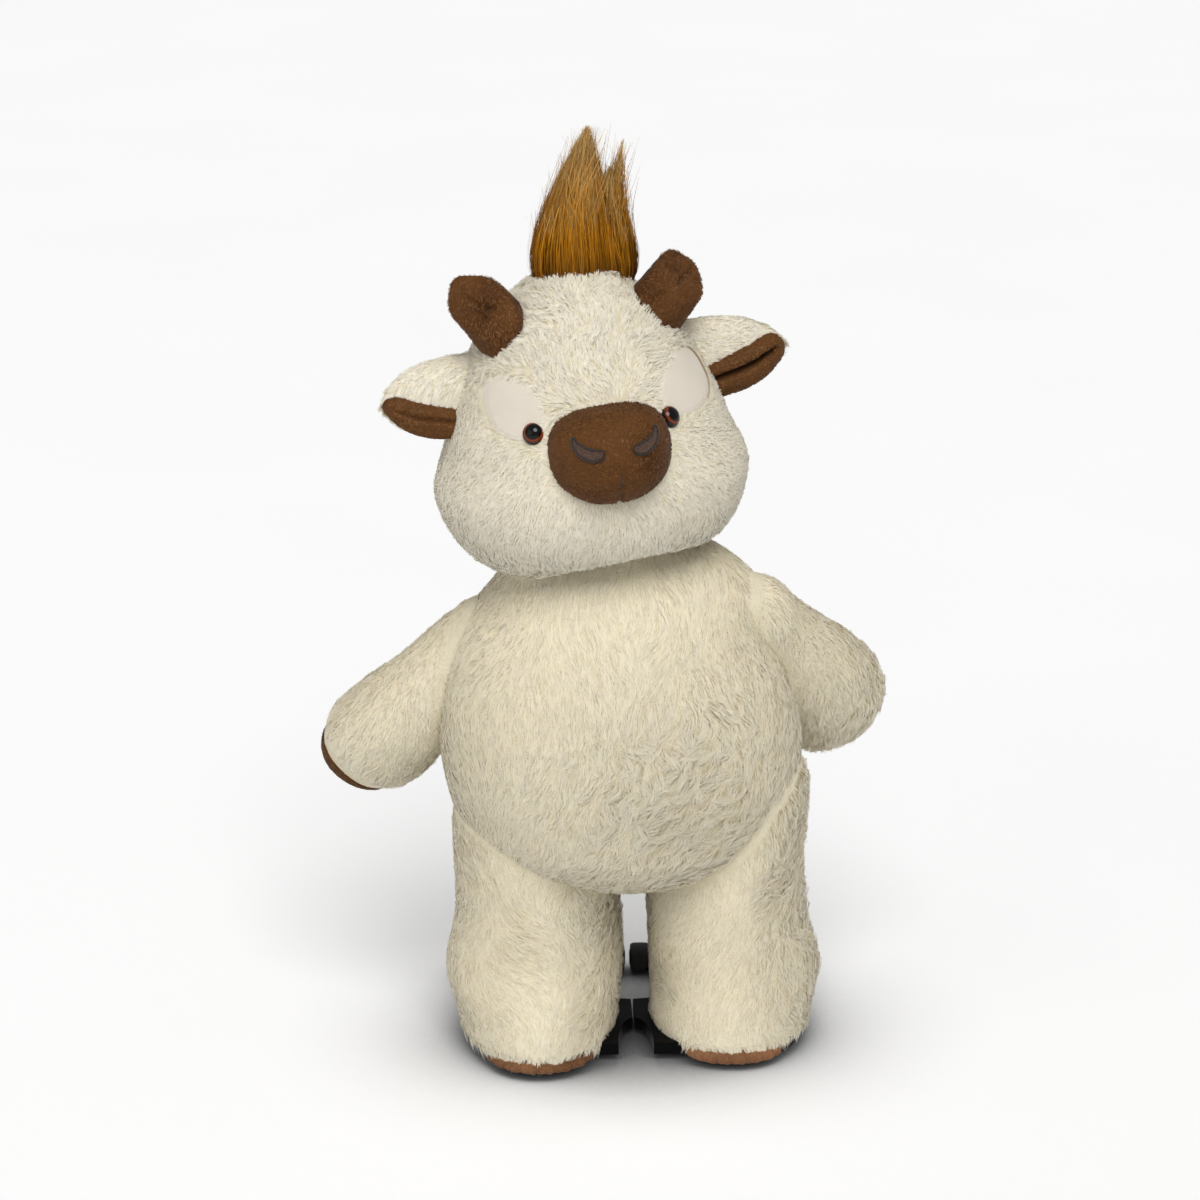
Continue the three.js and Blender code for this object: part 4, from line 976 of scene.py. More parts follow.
def nap(name, surface, count, seed, body, context, keep, length=2.4, tousle=0.35):
    """Short strands over a piece of brown pile, so that its edge and its brushing show."""
    roots, normals, rng = scatter(surface, count, seed)
    roots, normals = thinned(keep(roots), roots, normals)
    face = context.scene.calf_face
    tones = face.minky_dark, face.minky_light, face.minky_tip
    finish = stock(acrylic_pile, "minky_pile_strands", *tones, sheen=0.1, spread=0.45)
    comb = down_comb(roots, seed, 0.9, 14.0)
    manner = {"lock": NAP_LOCK, "width": NAP_WIDTH, "rise": 0.42, "slot": "brown_plush"}
    pile(name, roots, normals, comb, rng, length, finish, body, tousle, **manner)


class CALF_OT_stage(bpy.types.Operator):
    """Floor, lamps and camera."""

    bl_idname = "calf.stage"
    bl_label = "Stage and camera"

    def execute(self, context):
        stage = context.scene.calf_stage
        self.floor()
        self.room(context, stage.room)
        target = Vector((-0.0036, 0.0041, 0.2952))
        key, fill = (bpy.data.lights.new(*facts) for facts in (("key_lamp", "SUN"), ("fill_lamp", "AREA")))
        key.energy, key.angle = stage.key, math.radians(34.0)
        fill.energy, fill.size = stage.fill, 1.6
        camera = bpy.data.cameras.new("camera")
        distance, frame_width = 2.4, 0.756
        camera.sensor_width = 36.0
        camera.lens = camera.sensor_width * distance / frame_width
        azimuth, elevation = math.radians(-2.0), math.radians(18.0)
        flat = math.cos(elevation)
        away = Vector((math.sin(azimuth) * flat, -math.cos(azimuth) * flat, math.sin(elevation)))
        places = Vector((0.1, -1.3, 2.0)), Vector((-1.7, -1.3, 1.2)), target + away * distance
        for data, place in zip((key, fill, camera), places):
            holder = bpy.data.objects.new(data.name, data)
            context.scene.collection.objects.link(holder)
            holder.location = place
            holder.rotation_euler = (target - place).to_track_quat("-Z", "Y").to_euler()
        context.scene.camera = holder
        context.scene.view_settings.view_transform = "Standard"
        return {"FINISHED"}

    def floor(self):
        """Matt white painted board, barely speckled; to the camera it is bright in the open and carries
        painted shade under what stands on it, from its ambient occlusion.
        """
        material, tree, here = new_material("painted_white_floor")
        path = add(tree, "LightPath")
        speck = add(tree, "TexNoise", {"Scale": 3.0, "Detail": 2.0}, here)
        stops = [(0.0, colour("#F6F6F6")), (1.0, colour("#FAFAFA"))]
        tone = add(tree, "ValToRGB", {"stops": stops}, {"Fac": speck})
        plain = add(tree, "BsdfDiffuse", {}, {"Color": tone})
        bright = add(tree, "Emission", {"Color": (1.0, 1.0, 1.0, 1.0), "Strength": 1.0})
        # painted shade: the floor colour the camera sees is darkened by ambient occlusion near what stands on
        # it
        near = add(tree, "AmbientOcclusion", {"Distance": 0.13, "samples": 12}).outputs["AO"]
        painted_contact_shade = add(tree, "MapRange", {1: 0.38, 2: 0.95, 3: 0.0, 4: 1.22}, {0: near})
        scaled = add(tree, "VectorMath", {"operation": "SCALE"}, {0: tone, "Scale": painted_contact_shade})
        seen = add(tree, "BsdfDiffuse", {}, {"Color": scaled})
        # the glow added for the camera also fades under what stands on it, more painted shade
        lift = add(tree, "Math", {"operation": "MULTIPLY", 1: 0.25}, {0: near})
        lifted = add(tree, "MixShader", {}, {0: lift, 1: seen, 2: bright})
        both = add(tree, "MixShader", {}, {0: path.outputs["Is Camera Ray"], 1: plain, 2: lifted})
        add(tree, "OutputMaterial", {}, {0: both})
        corners = np.array([[-1, -1, 0], [1, -1, 0], [1, 1, 0], [-1, 1, 0]]) * 14.0
        floor = new_mesh("floor", corners, np.arange(4), np.array([4]), smooth_faces=False)
        floor.data.materials.append(material)

    def room(self, context, power):
        """Even light all round, white where the camera sees it."""
        world = context.scene.world = bpy.data.worlds.new("studio")
        world.use_nodes = True
        tree = world.node_tree
        tree.nodes.clear()
        path = add(tree, "LightPath").outputs
        rays = {0: path["Is Camera Ray"], 1: path["Is Transmission Ray"]}
        seen = add(tree, "Math", {"operation": "MAXIMUM"}, rays)
        strength = add(tree, "MapRange", {3: power, 4: 1.0}, {0: seen})
        light = add(tree, "Background", {"Color": (1.0, 1.0, 1.0, 1.0)}, {"Strength": strength})
        add(tree, "OutputWorld", {}, {0: light})


class CALF_OT_belly(bpy.types.Operator):
    """The stuffed belly with its long combed pile."""

    bl_idname = "calf.belly"
    bl_label = "Belly"

    def execute(self, context):
        skin = closed_skin("belly_skin", torso_skin, 160, 120, ground(), plump=2.0)
        dress(skin, "torso", "cream_plush", "torso_plush", fill=0.8)
        roots, normals, rng = scatter(torso_skin, PILE["belly"], SEED)
        hidden = in_head(roots, -3) | on_flap(roots)
        for name in SIDE:
            hidden |= in_arm(name, roots, -2) | in_leg(name, roots, 1.5)
        roots, normals = thinned(~hidden, roots, normals)
        x, y, z = apart(roots)
        rough = np.exp(-(((x - 18) / 62) ** 2) - ((z - 205) / 62) ** 2) * (y < 0)
        length = context.scene.calf_fur.body_length / MM * (1 + 0.2 * rough)
        comb, finish, tousle = down_comb(roots, 3, 0.45), belly_finish(context), 0.1 + 0.9 * rough
        manner = {"lock": 1.1, "gather": 0.85, "sway": 1.7}
        pile("belly_pile", roots, normals, comb, rng, length, finish, "torso", tousle, **manner)
        return {"FINISHED"}


def on_flap(points):
    """Which points of the belly's back lie under the flap or in the slit round it."""
    across = np.abs(points[:, 0]) / (FLAP["half_wide"] + FLAP["slit"])
    up = np.abs(points[:, 2] - FLAP["middle"]) / (FLAP["half_tall"] + FLAP["slit"])
    return (across**5 + up**5 < 1) & (points[:, 1] > 0)


def rounded(u, power):
    """A rounded square's outline, across and up, for u from 0 to 1: |x|^power + |y|^power = 1."""
    across, up = ring(u)
    corner = (np.abs(across) ** power + np.abs(up) ** power) ** (-1 / power)
    return corner * across, corner * up


def flap_skin(u, v):
    """The battery flap: a rounded square panel laid on the belly's back, 3 mm thick, its border turned in."""
    across, up = rounded(u, 5)
    reach = np.minimum(v / 0.8, 1.0)
    inward = reach * (1 - smooth(0.82, 1.0, v))
    x = FLAP["half_wide"] * across * inward
    z = FLAP["middle"] + FLAP["half_tall"] * up * inward
    upright = lean(xyz(x, 0 * x, z), -1.0)
    share = egg_share(TORSO, (z - TORSO["base"]) / TORSO["height"])
    proud = 2.4 * smooth(1.02, 0.9, reach) + np.where(v < 0.8, 0.0, -1.8 * smooth(0.8, 0.9, v))
    y = TORSO["back"] * share * np.sqrt(1 - (upright[..., 0] / (TORSO["wide"] * share)) ** 2) + proud
    return xyz(x, y, z)


class CALF_OT_flap(bpy.types.Operator):
    """The furred flap over the battery bay, with the slit round it."""

    bl_idname = "calf.flap"
    bl_label = "Battery flap"

    def execute(self, context):
        flap = closed_skin("flap_skin", flap_skin, 96, 50, ground())
        dress(flap, "torso", "cream_plush", "back_flap", fill=0.5)
        roots, normals, rng = scatter(flap_skin, PILE["flap"], SEED + 12)
        roots, normals = thinned(normals[:, 1] > 0.2, roots, normals)
        length = context.scene.calf_fur.body_length / MM * 0.8
        comb = down_comb(roots, 3, 0.45)
        pile("flap_pile", roots, normals, comb, rng, length, belly_finish(context), "torso", 0.15)
        return {"FINISHED"}


class CALF_OT_legs(bpy.types.Operator):
    """Both legs with their furred feet, which bend at the ankle."""

    bl_idname = "calf.legs"
    bl_label = "Legs and feet"

    def execute(self, context):
        for name, side in SIDE.items():
            bend = self.ankle(name, to_metres(np.array([side * LEG_SPREAD, 0.0, 0.0])))
            surface = partial(leg_skin, name)
            skin = closed_skin(f"leg_skin_{name}", surface, 96, 90, ground(), plump=1.8)
            dress(skin, None, "cream_plush", f"leg_plush_{name}", f"foot_plush_{name}", fill=0.8)
            bend(skin)
            roots, normals, rng = scatter(surface, PILE["leg"], SEED + 5)
            hidden = in_torso(roots, 1.5) | ((normals[:, 2] < -0.6) & (roots[:, 2] < 16))
            roots, normals = thinned(~hidden, roots, normals)
            aside = roots[:, 0] - side * LEG_SPREAD
            comb = down_comb(roots, 8 if name == "left" else 12, 0.6, 26.0)
            comb[:, 0] += 0.35 * np.sign(aside) * smooth(0.0, 40.0, np.abs(aside))
            rough = smooth(-2.0, 30.0, aside) * (roots[:, 1] < 0)
            length = context.scene.calf_fur.body_length / MM * (0.95 - 0.3 * smooth(40.0, 14.0, roots[:, 2]))
            length, tousle = length * (1 + 0.12 * rough), 0.12 + 0.5 * rough
            finish = belly_finish(context)
            pile(f"leg_pile_{name}", roots, normals, comb, rng, length, finish, bend, tousle)
            low = (roots[:, 2] < 34) & (normals[:, 2] > -0.5)
            fringe = thinned(low, roots, normals, comb * 0.2 + np.array([0, 0, -1.0]))
            pile(f"leg_fringe_{name}", *fringe, rng, 12.5, finish, f"foot_{name}", 0.6, rise=0.2)
        return {"FINISHED"}

    def ankle(self, name, hip):
        """What settles a leg piece: its transform baked into its mesh."""
        return lambda piece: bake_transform(piece)


class CALF_OT_arms(bpy.types.Operator):
    """Both arms with their pile and the brown pads at their ends."""

    bl_idname = "calf.arms"
    bl_label = "Arms and pads"

    def execute(self, context):
        for name in SIDE:
            body = f"arm_{name}"
            surface = partial(arm_skin, name)
            skin = closed_skin(f"arm_skin_{name}", surface, 72, 80, ground(), plump=1.8)
            dress(skin, body, "cream_plush", f"arm_plush_{name}", fill=0.8)
            end = partial(arm_skin, name, start=ARM["pad"] - 2, proud=ARM["pad_proud"])
            pad = closed_skin(f"arm_pad_{name}", end, 64, 30, minky(context))
            dress(pad, body, "brown_plush", f"paw_pad_{name}", fill=0.8)
            past = lambda roots: to_arm(name, roots)[:, 2] > ARM["pad"]
            nap(f"arm_pad_nap_{name}", end, NAP["arm_pad"], SEED + 23, body, context, past)
            roots, normals, rng = scatter(surface, PILE["arm"], SEED + 9)
            along = to_arm(name, roots)[:, 2]
            hidden = in_torso(roots, 2.5) | in_head(roots, 0) | (along > ARM["pad"] - 1)
            roots, normals, along = thinned(~hidden, roots, normals, along)
            comb = arm_turn(name)[:, 2] * 0.8 + down_comb(roots, 17, 0.5, 24.0) * 0.5
            comb = comb + normals * 0.6 * smooth(112.0, ARM["pad"] - 4, along)[:, None]
            length = context.scene.calf_fur.body_length / MM
            length = length * (0.95 - 0.45 * smooth(104.0, ARM["pad"] - 6, along))
            length = length * (0.5 + 0.25 * ~in_torso(roots, 5.0) + 0.25 * ~in_torso(roots, 9.0))
            tousle = 0.14 + (0.5 if name == "left" else 0.2) * smooth(30.0, 95.0, along)
            pile(f"arm_pile_{name}", roots, normals, comb, rng, length, belly_finish(context), body, tousle)
        return {"FINISHED"}


def near_face(local):
    """How many millimetres points of the head lie from what is sewn on the face, less than 0 under it."""
    x, y, z = apart(local)
    room = np.full(len(local), 60.0)
    for name, side in SIDE.items():
        up = (z - PATCH["height"]) / PATCH["tall"]
        wide = PATCH_WIDE[name] * (1 - PATCH_TAPER[name] * np.clip(up, -1, 1))
        patch = (np.hypot((x - side * PATCH_ASIDE[name]) / wide, up) - 1) * PATCH["tall"]
        eye = np.hypot(x - side * EYE["aside"], z - EYE["height"]) - EYE["radius"]
        room = np.where(y < 0, np.minimum(room, np.minimum(patch, eye)), room)
    forward, rise = (y + MUZZLE["sink"]) / MUZZLE["deep"], (z - MUZZLE["height"]) / MUZZLE["tall"]
    muzzle = np.sqrt((x / MUZZLE["wide"]) ** 2 + forward**2 + rise**2)
    return np.minimum(room, (muzzle - 1) * MUZZLE["tall"] + 3.5)


def in_horn(name, local, grow):
    """Which points of the head's frame lie inside a horn's cone grown by grow."""
    place = (local - horn_middle(name)) @ turn_y(HORN["splay"] * SIDE[name])
    return np.hypot(place[:, 0], place[:, 1]) < HORN["root"] + grow


class CALF_OT_head(bpy.types.Operator):
    """The stuffed head with its shorter tousled pile."""

    bl_idname = "calf.head"
    bl_label = "Head"

    def execute(self, context):
        skin = closed_skin("head_skin", head_skin, 160, 110, ground(), plump=1.6)
        dress(skin, "head", "cream_plush", "head_plush", fill=0.9)
        roots, normals, rng = scatter(head_skin, PILE["head"], SEED + 2)
        local = to_head(roots)
        room = near_face(local)
        hidden = (room < 0) | in_torso(roots, 0)
        for name, side in SIDE.items():
            hidden |= in_horn(name, local, -1.5) & (local[:, 2] > 120) & (local[:, 0] * side > 0)
        roots, normals, local, room = thinned(~hidden, roots, normals, local, room)
        x, y, z = apart(local)
        away = unit(local - np.array([0.0, -MUZZLE["sink"] - 20, MUZZLE["height"]]))
        comb = (away * np.array([1.0, 1.0, 0.7])) @ HEAD_TURN.T + down_comb(roots, 23, 0.75, 22.0) * 0.55
        length = context.scene.calf_fur.head_length / MM * (0.8 + 0.2 * smooth(0.0, 9.0, room))
        comb = comb + normals * 0.5 * smooth(6.0, 0.0, room)[:, None]
        patch_x = np.where(x > 0, PATCH_ASIDE["left"], -PATCH_ASIDE["right"])
        toward = xyz(patch_x - x, 0 * x, PATCH["height"] - z) / PATCH["tall"]
        beside = smooth(5.0, 0.0, room) * (np.abs(x) > MUZZLE["wide"] * 0.8) * (y < 0)
        comb = comb + (toward @ HEAD_TURN.T) * 1.6 * beside[:, None]
        under = smooth(32.0, 14.0, z - chin_height(x, y))[:, None]
        inward = (xyz(-x, -y, 0 * x) / 60.0) @ HEAD_TURN.T + swirl(roots, 16.0, 5) * 0.4
        comb = comb * (1 - under) + inward * under
        tousle = 0.12 + 0.6 * smooth(95.0, 150.0, z) * (y < 0) + 0.45 * smooth(40.0, 12.0, z)
        manner = {"lock": 0.8, "rise": 0.4}
        pile("head_pile", roots, normals, comb, rng, length, head_finish(context), "head", tousle, **manner)
        return {"FINISHED"}


class CALF_OT_ears(bpy.types.Operator):
    """Both ears: furred leaves with folded brown linings."""

    bl_idname = "calf.ears"
    bl_label = "Ears"

    def execute(self, context):
        around, rise = 96, 70
        for name in SIDE:
            surface, fold = partial(ear_skin, name), partial(ear_lining_skin, name)
            skin = closed_skin(f"ear_skin_{name}", surface, 56, 60, ground(), plump=1.0)
            # the lining's finish paints shade down its slit
            finish = minky(context, "minky_folded_lining", folded=True)
            lining = closed_skin(
                f"ear_lining_skin_{name}", fold, around, rise, finish, lining_folds(name, around, rise)
            )
            dress(skin, "head", "cream_plush", f"ear_plush_{name}", fill=0.5)
            dress(lining, "head", "brown_plush", f"ear_lining_{name}", fill=0.5)
            clear = lambda roots: ~in_head(roots, 0) & off_slit(name, to_head(roots))
            nap(f"ear_lining_nap_{name}", fold, NAP["ear_lining"], SEED + 22, "head", context, clear, 1.8)
            roots, normals, rng = scatter(surface, PILE["ear"], SEED + 4)
            x, y, z = apart(to_head(roots))
            along = (np.abs(x) - EAR["root"]) / EAR_LENGTH[name]
            half, drop = ear_fold(name, np.clip(along, 0, 1))
            lined = (y < EAR["forward"] - 1) & (along > 0.12)
            lined &= np.abs(z - EAR["height"] + drop) < half * 0.9
            roots, normals = thinned(~(lined | in_head(roots, 0)), roots, normals)
            comb = HEAD_TURN @ np.array([SIDE[name] * 0.9, 0.0, -0.5]) + swirl(roots, 18.0, 31) * 0.4
            length = context.scene.calf_fur.head_length / MM * 0.72
            finish, manner = head_finish(context), {"lock": 0.7, "rise": 0.28}
            pile(f"ear_pile_{name}", roots, normals, comb, rng, length, finish, "head", 0.45, **manner)
        return {"FINISHED"}


class CALF_OT_horns(bpy.types.Operator):
    """Both stuffed horns of short brown pile."""

    bl_idname = "calf.horns"
    bl_label = "Horns"

    def execute(self, context):
        for name in SIDE:
            surface = partial(horn_skin, name)
            horn = closed_skin(f"horn_skin_{name}", surface, 96, 90, minky(context))
            dress(horn, "head", "brown_plush", f"horn_{name}", fill=0.8)
            clear = lambda roots: ~in_head(roots, -1)
            nap(f"horn_nap_{name}", surface, NAP["horn"], SEED + 20, "head", context, clear)
        return {"FINISHED"}


def eye_skin(name, u, v):
    """A shallow polished dome set square on the face, as a ball cut by its own depth."""
    x, z = SIDE[name] * EYE["aside"] + EYE_SHIFT[name][0], EYE["height"] + EYE_SHIFT[name][1]
    middle, aside, above = (xyz(a, face_depth(a, b), b) for a, b in ((x, z), (x + 1.0, z), (x, z + 1.0)))
    across = aside - middle
    out = unit(np.cross(across, above - middle))
    across = unit(across)
    right, down = ring(u)
    angle = np.pi * (1 - v)
    ball = xyz(np.sin(angle) * right, np.sin(angle) * down, np.cos(angle) * 0.85) * EYE["radius"]
    return from_head(middle + ball @ np.stack([across, -np.cross(out, across), -out]) + out * 0.5)


def eye_rings(around, along):
    """How far points of the eye's front lie from the pupil's middle, as shares of the eye, and 1 behind."""
    u, v = rows(around, along)
    right, down = ring(u)
    right, down = np.sin(np.pi * v) * right, np.sin(np.pi * v) * down
    reach = np.where(v < 0.5, np.hypot(right - PUPIL["right"], down + PUPIL["up"]), 1.0)
    return {"ring": np.append(reach, [math.hypot(PUPIL["right"], PUPIL["up"]), 1.0])}


def patch_outline(name, u):
    """A felt patch's rounded outline, across and up from its middle; the toy's left one narrows upward."""
    across, up = rounded(u, 2.6)
    taper = PATCH_TAPER[name] * np.where(across > 0, up, np.maximum(up, 0))
    return PATCH_WIDE[name] * across * (1 - taper), PATCH["tall"] * up


def on_face(name, across, up, proud):
    """A place on the face, across and up from a patch's middle, proud of the head."""
    x, z = SIDE[name] * (PATCH_ASIDE[name] + across), PATCH["height"] + up
    return from_head(xyz(x, face_depth(x, z, proud), z))


def patch_skin(name, u, v):
    """A rounded felt piece laid on the face, 1.6 mm thick, its border turned down into the pile."""
    across, up = patch_outline(name, u)
    reach = np.where(v < 0.7, v / 0.7, 1.0)
    sunk = np.where(v < 0.7, 0.0, (v - 0.7) / 0.3)
    inward = reach * np.where(v > 0.8, 1 - 0.9 * smooth(0.8, 1.0, v), 1.0)
    return on_face(name, across * inward, up * inward, 2.9 * (1 - 0.3 * smooth(0.8, 1.0, reach)) - 3.4 * sunk)


def patch_seam_skin(u, v):
    """A thin tan tube along the outer edge of the toy's left patch, from 55 degrees down to 75 up: painted
    shade of the seam at the patch's edge, made as a thread.
    """
    around = (-55.0 + 130.0 * v) / 360
    thick = 0.55 * np.sin(np.pi * v) ** 0.3
    across, up = patch_outline("left", around)
    out, front = ring(u)
    aside, above = ring(around)
    return on_face("left", across + thick * out * aside, up + thick * out * above, 2.6 + thick * front)


def on_muzzle(x, z, proud):
    """A place across and up on the muzzle's front, in the head's frame, proud of its surface."""
    wide, deep, tall = (MUZZLE[key] + proud for key in ("wide", "deep", "tall"))
    power = muzzle_power(z / tall)
    inside = np.clip(1 - np.abs(x / wide) ** power - np.abs(z / tall) ** power, 0, 1)
    return xyz(x, -deep * inside ** (1 / power) - MUZZLE["sink"], z + MUZZLE["height"])


def nostril_line(name, t):
    """The nostril's curved middle line with its half width, and the direction across it."""
    at, fine = np.linspace(0, 1, len(NOSTRIL["x"])), np.linspace(0, 1, 61)
    padded = (np.pad(np.interp(fine, at, NOSTRIL[key]), 4, "edge") for key in ("x", "z", "half"))
    bend = [np.convolve(values, np.ones(9) / 9, "valid") for values in padded]
    x, z, half = (np.interp(t, fine, values) for values in bend)
    dx, dz = (np.interp(t, fine, np.gradient(values)) for values in bend[:2])
    long = np.hypot(dx, dz)
    return SIDE[name] * x, z, half, SIDE[name] * dz / long, -dx / long


def nostril_skin(name, u, v):
    """A satin-stitched comma: a low cushion along the nostril's line, its stitches ridged across it."""
    x, z, half, ax, az = nostril_line(name, v)
    end = np.sqrt(np.clip(1 - (2 * v - 1) ** 8, 0, 1))
    out, front = ring(u)
    across = half * out * end
    proud = 0.35 + 0.75 * front * end + 0.12 * np.sin(2 * np.pi * v * 34) * (front > 0)
    return from_head(on_muzzle(x + ax * across, z + az * across, proud))


def nostril_cord_skin(name, u, v):
    """The dark cord couched round the comma: a thin round tube along its border."""
    loop = np.where(v < 0.5, v * 2, 2 - v * 2)
    x, z, half, ax, az = nostril_line(name, loop)
    end = np.sqrt(np.clip(1 - (2 * loop - 1) ** 8, 0, 1))
    out, front = ring(u)
    across = np.where(v < 0.5, 1.0, -1.0) * (half * end + 0.15) + 0.65 * out
    return from_head(on_muzzle(x + ax * across, z + az * across, 0.85 + 0.65 * front))


def muzzle_seam_skin(u, v):
    """The dark thread sunk in the muzzle's groove: a thin tube up its lower middle."""
    z = -27.0 + 23.0 * v
    end = np.sin(np.pi * v) ** 0.3
    out, front = ring(u)
    depth = GROOVE["deep"] * smooth(-6.0, -14.0, z)
    points = on_muzzle(0.45 * out * end, z, 0.1 + 0.35 * front * end)
    return from_head(points + xyz(0 * depth, depth, 0.5 * depth))


def off_stitches(local):
    """Which points of the head's frame lie clear of the nostrils and the muzzle's seam."""
    x, z = local[:, 0], local[:, 2] - MUZZLE["height"]
    clear = ~((np.abs(x) < 0.8) & (z < -3))
    for name in SIDE:
        line = np.stack(nostril_line(name, np.linspace(0, 1, 40))[:3], -1)
        gap = np.hypot(x[:, None] - line[:, 0], z[:, None] - line[:, 1]) - line[:, 2]
        clear &= (gap.min(1) > 0.5) | (local[:, 1] > -MUZZLE["sink"])
    return clear


class CALF_OT_face(bpy.types.Operator):
    """Muzzle, nostrils, eyes and felt patches."""

    bl_idname = "calf.face"
    bl_label = "Face"

    def execute(self, context):
        face = context.scene.calf_face
        muzzle = closed_skin("muzzle_skin", muzzle_skin, 200, 120, minky(context))
        dress(muzzle, "head", "brown_plush", "muzzle", fill=0.9)
        clear = lambda roots: ~in_head(roots, -1) & off_stitches(to_head(roots))
        nap("muzzle_nap", muzzle_skin, NAP["muzzle"], SEED + 21, "head", context, clear, 2.0, 0.6)
        thread = stitched_thread("satin_stitch_thread", colour("#2B190F"), colour("#6A4C38"))
        cord = stitched_thread("couched_dark_cord", colour("#120904"), colour("#24150D"))
        # painted shade: this tan thread stands for the shade along the left patch's seam
        tan = stitched_thread("seam_shade_thread", colour("#A98B66"), colour("#C9B08A"))
        felt = short_minky("pressed_felt", dimmed(face.patch, 0.9), face.patch, 1500.0)
        acrylic = cast_eye("cast_acrylic_eye", face.amber)
        dress(closed_skin("muzzle_seam", muzzle_seam_skin, 10, 60, cord), "head", "brown_plush")
        for name in SIDE:
            fill = closed_skin(f"nostril_{name}", partial(nostril_skin, name), 28, 220, thread)
            edge = closed_ring(f"nostril_cord_{name}", partial(nostril_cord_skin, name), 10, 160, cord)
            eye = closed_skin(f"eye_dome_{name}", partial(eye_skin, name), 48, 40, acrylic, eye_rings(48, 40))
            patch = closed_skin(f"felt_patch_{name}", partial(patch_skin, name), 72, 44, felt)
            dress(fill, "head", "brown_plush")
            dress(edge, "head", "brown_plush")
            dress(eye, "head", "eye_plastic", f"eye_{name}")
            dress(patch, "head", "felt", f"eye_patch_{name}")
        dress(closed_skin("patch_seam", patch_seam_skin, 8, 70, tan), "head", "felt")
        return {"FINISHED"}


class CALF_OT_tuft(bpy.types.Operator):
    """The tall tuft of straight hair: a main lock, a shorter one beside it, and thin wisps over that."""

    bl_idname = "calf.tuft"
    bl_label = "Hair tuft"

    def execute(self, context):
        tuft = context.scene.calf_tuft
        tones = tuft.root, tuft.middle, tuft.tip
        material = acrylic_pile("straight_synthetic_hair", *tones, 0.0, spread=0.5, shine=0.2, full=0.68)
        rng = np.random.default_rng(SEED + 7)
        pieces = []
        for number, (place, height, wide, deep, tilt, share, core) in enumerate(LOCKS, 1):
            count = int(tuft.strands * share)
            angle = rng.random(count) * 2 * np.pi
            out = np.sqrt(rng.random(count))
            if core:
                body = partial(self.lock, place, height * core, wide * 0.84, deep * 0.84, tilt * core**2)
                facts = self.core_facts(48, 60)
                pieces.append(closed_skin(f"tuft_core_{number}", body, 48, 60, material, facts))
            long = height * (0.5 + 0.5 * rng.random(count) ** 1.5)
            wave = rng.normal(0, 1.1, (count, 2))
            stray = rng.normal(0, 1.2, (count, 2)) * np.where(rng.random((count, 1)) < 0.18, 4.5, 1.0)
            spots = []
            for t in (0.0, 0.14, 0.34, 0.56, 0.78, 1.0):
                s = t * long / height
                swell = egg_share(TUFT, np.clip(0.08 + 0.92 * s, 0, 0.99))
                x, y = out * np.cos(angle) * wide * swell, out * np.sin(angle) * deep * swell
                x = x + wave[:, 0] * np.sin(5 * s + angle) + stray[:, 0] * t**3
                y = y + wave[:, 1] * np.sin(4 * s + angle) + stray[:, 1] * t**3
                spots.append(xyz(place + x + tilt * s * s, y, 172.0 + s * height))
            spots = from_head(np.stack(spots, 1))
            pieces.append(self.hairs(f"tuft_hair_{number}", spots, tuft.strand / MM, material, rng, angle))
        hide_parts("hair_tuft")
        for piece in pieces:
            dress(piece, "head", "tuft_hair")
        return {"FINISHED"}

    def lock(self, place, height, wide, deep, tilt, u, v):
        """A leaned egg drawn to a point, which fills the lock behind its outer hairs."""
        s = eased(v)
        swell = egg_share(TUFT, s)
        streak = 1 + 0.03 * np.sin(2 * np.pi * u * 23)
        across, along = ring(u)
        x = place + wide * swell * streak * across + tilt * s * s
        return from_head(xyz(x, deep * swell * streak * along, 170.0 + s * height))

    def core_facts(self, around, along):
        """Height share and an even shade for the core's points."""
        high = np.append(rows(around, along)[1], [0.0, 1.0]) * 0.6
        return {"along": high, "shade": np.full(len(high), 0.25)}

    def hairs(self, name, spots, width, material, rng, angle):
        """Hairs as narrow ribbons through six spots each, tapering to their ends."""
        count, steps = spots.shape[:2]
        tangent = np.gradient(spots, axis=1)
        tangent /= np.linalg.norm(tangent, axis=-1, keepdims=True)
        facing = xyz(np.cos(angle), np.sin(angle), 0 * angle) @ HEAD_TURN.T
        facing = facing[:, None] + rng.normal(0, 0.35, (count, 1, 3))
        side = np.cross(tangent, facing)
        side /= np.linalg.norm(side, axis=-1, keepdims=True)
        taper = np.array([1.0, 1.0, 1.0, 0.85, 0.6, 0.25])[None, :, None] * width / 2
        points = np.stack([spots - side * taper, spots + side * taper], 2).reshape(-1, 3)
        step = np.arange(steps - 1) * 2
        quad = np.stack([step, step + 1, step + 3, step + 2], -1).ravel()
        corners = (np.arange(count)[:, None] * steps * 2 + quad).ravel()
        on_map = np.stack([(quad % 2) * 0.7, (quad // 2) / (steps - 1) * 0.7], -1)
        along = np.tile(np.repeat(np.linspace(0, 1, steps), 2), count)
        facts = {"along": along, "shade": np.repeat(rng.random(count) * 1.1 - 0.1, steps * 2)}
        sizes = np.full(count * (steps - 1), 4)
        piece = new_mesh(name, to_metres(points), corners, sizes, map_cells(count, on_map), facts)
        ways = np.cross(side, tangent)
        outer = (facing / np.linalg.norm(facing, axis=-1, keepdims=True)) * 0.7
        ways = ways * np.sign((ways * facing).sum(-1, keepdims=True)) * 0.3 + outer
        shine_along(piece, np.repeat(ways.reshape(-1, 3), 2, axis=0))
        piece.data.materials.append(material)
        return piece


def box_of(node):
    """A node's lowest and highest corners in millimetres of the toy's frame."""
    return (np.array(corner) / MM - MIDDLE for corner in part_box(node))


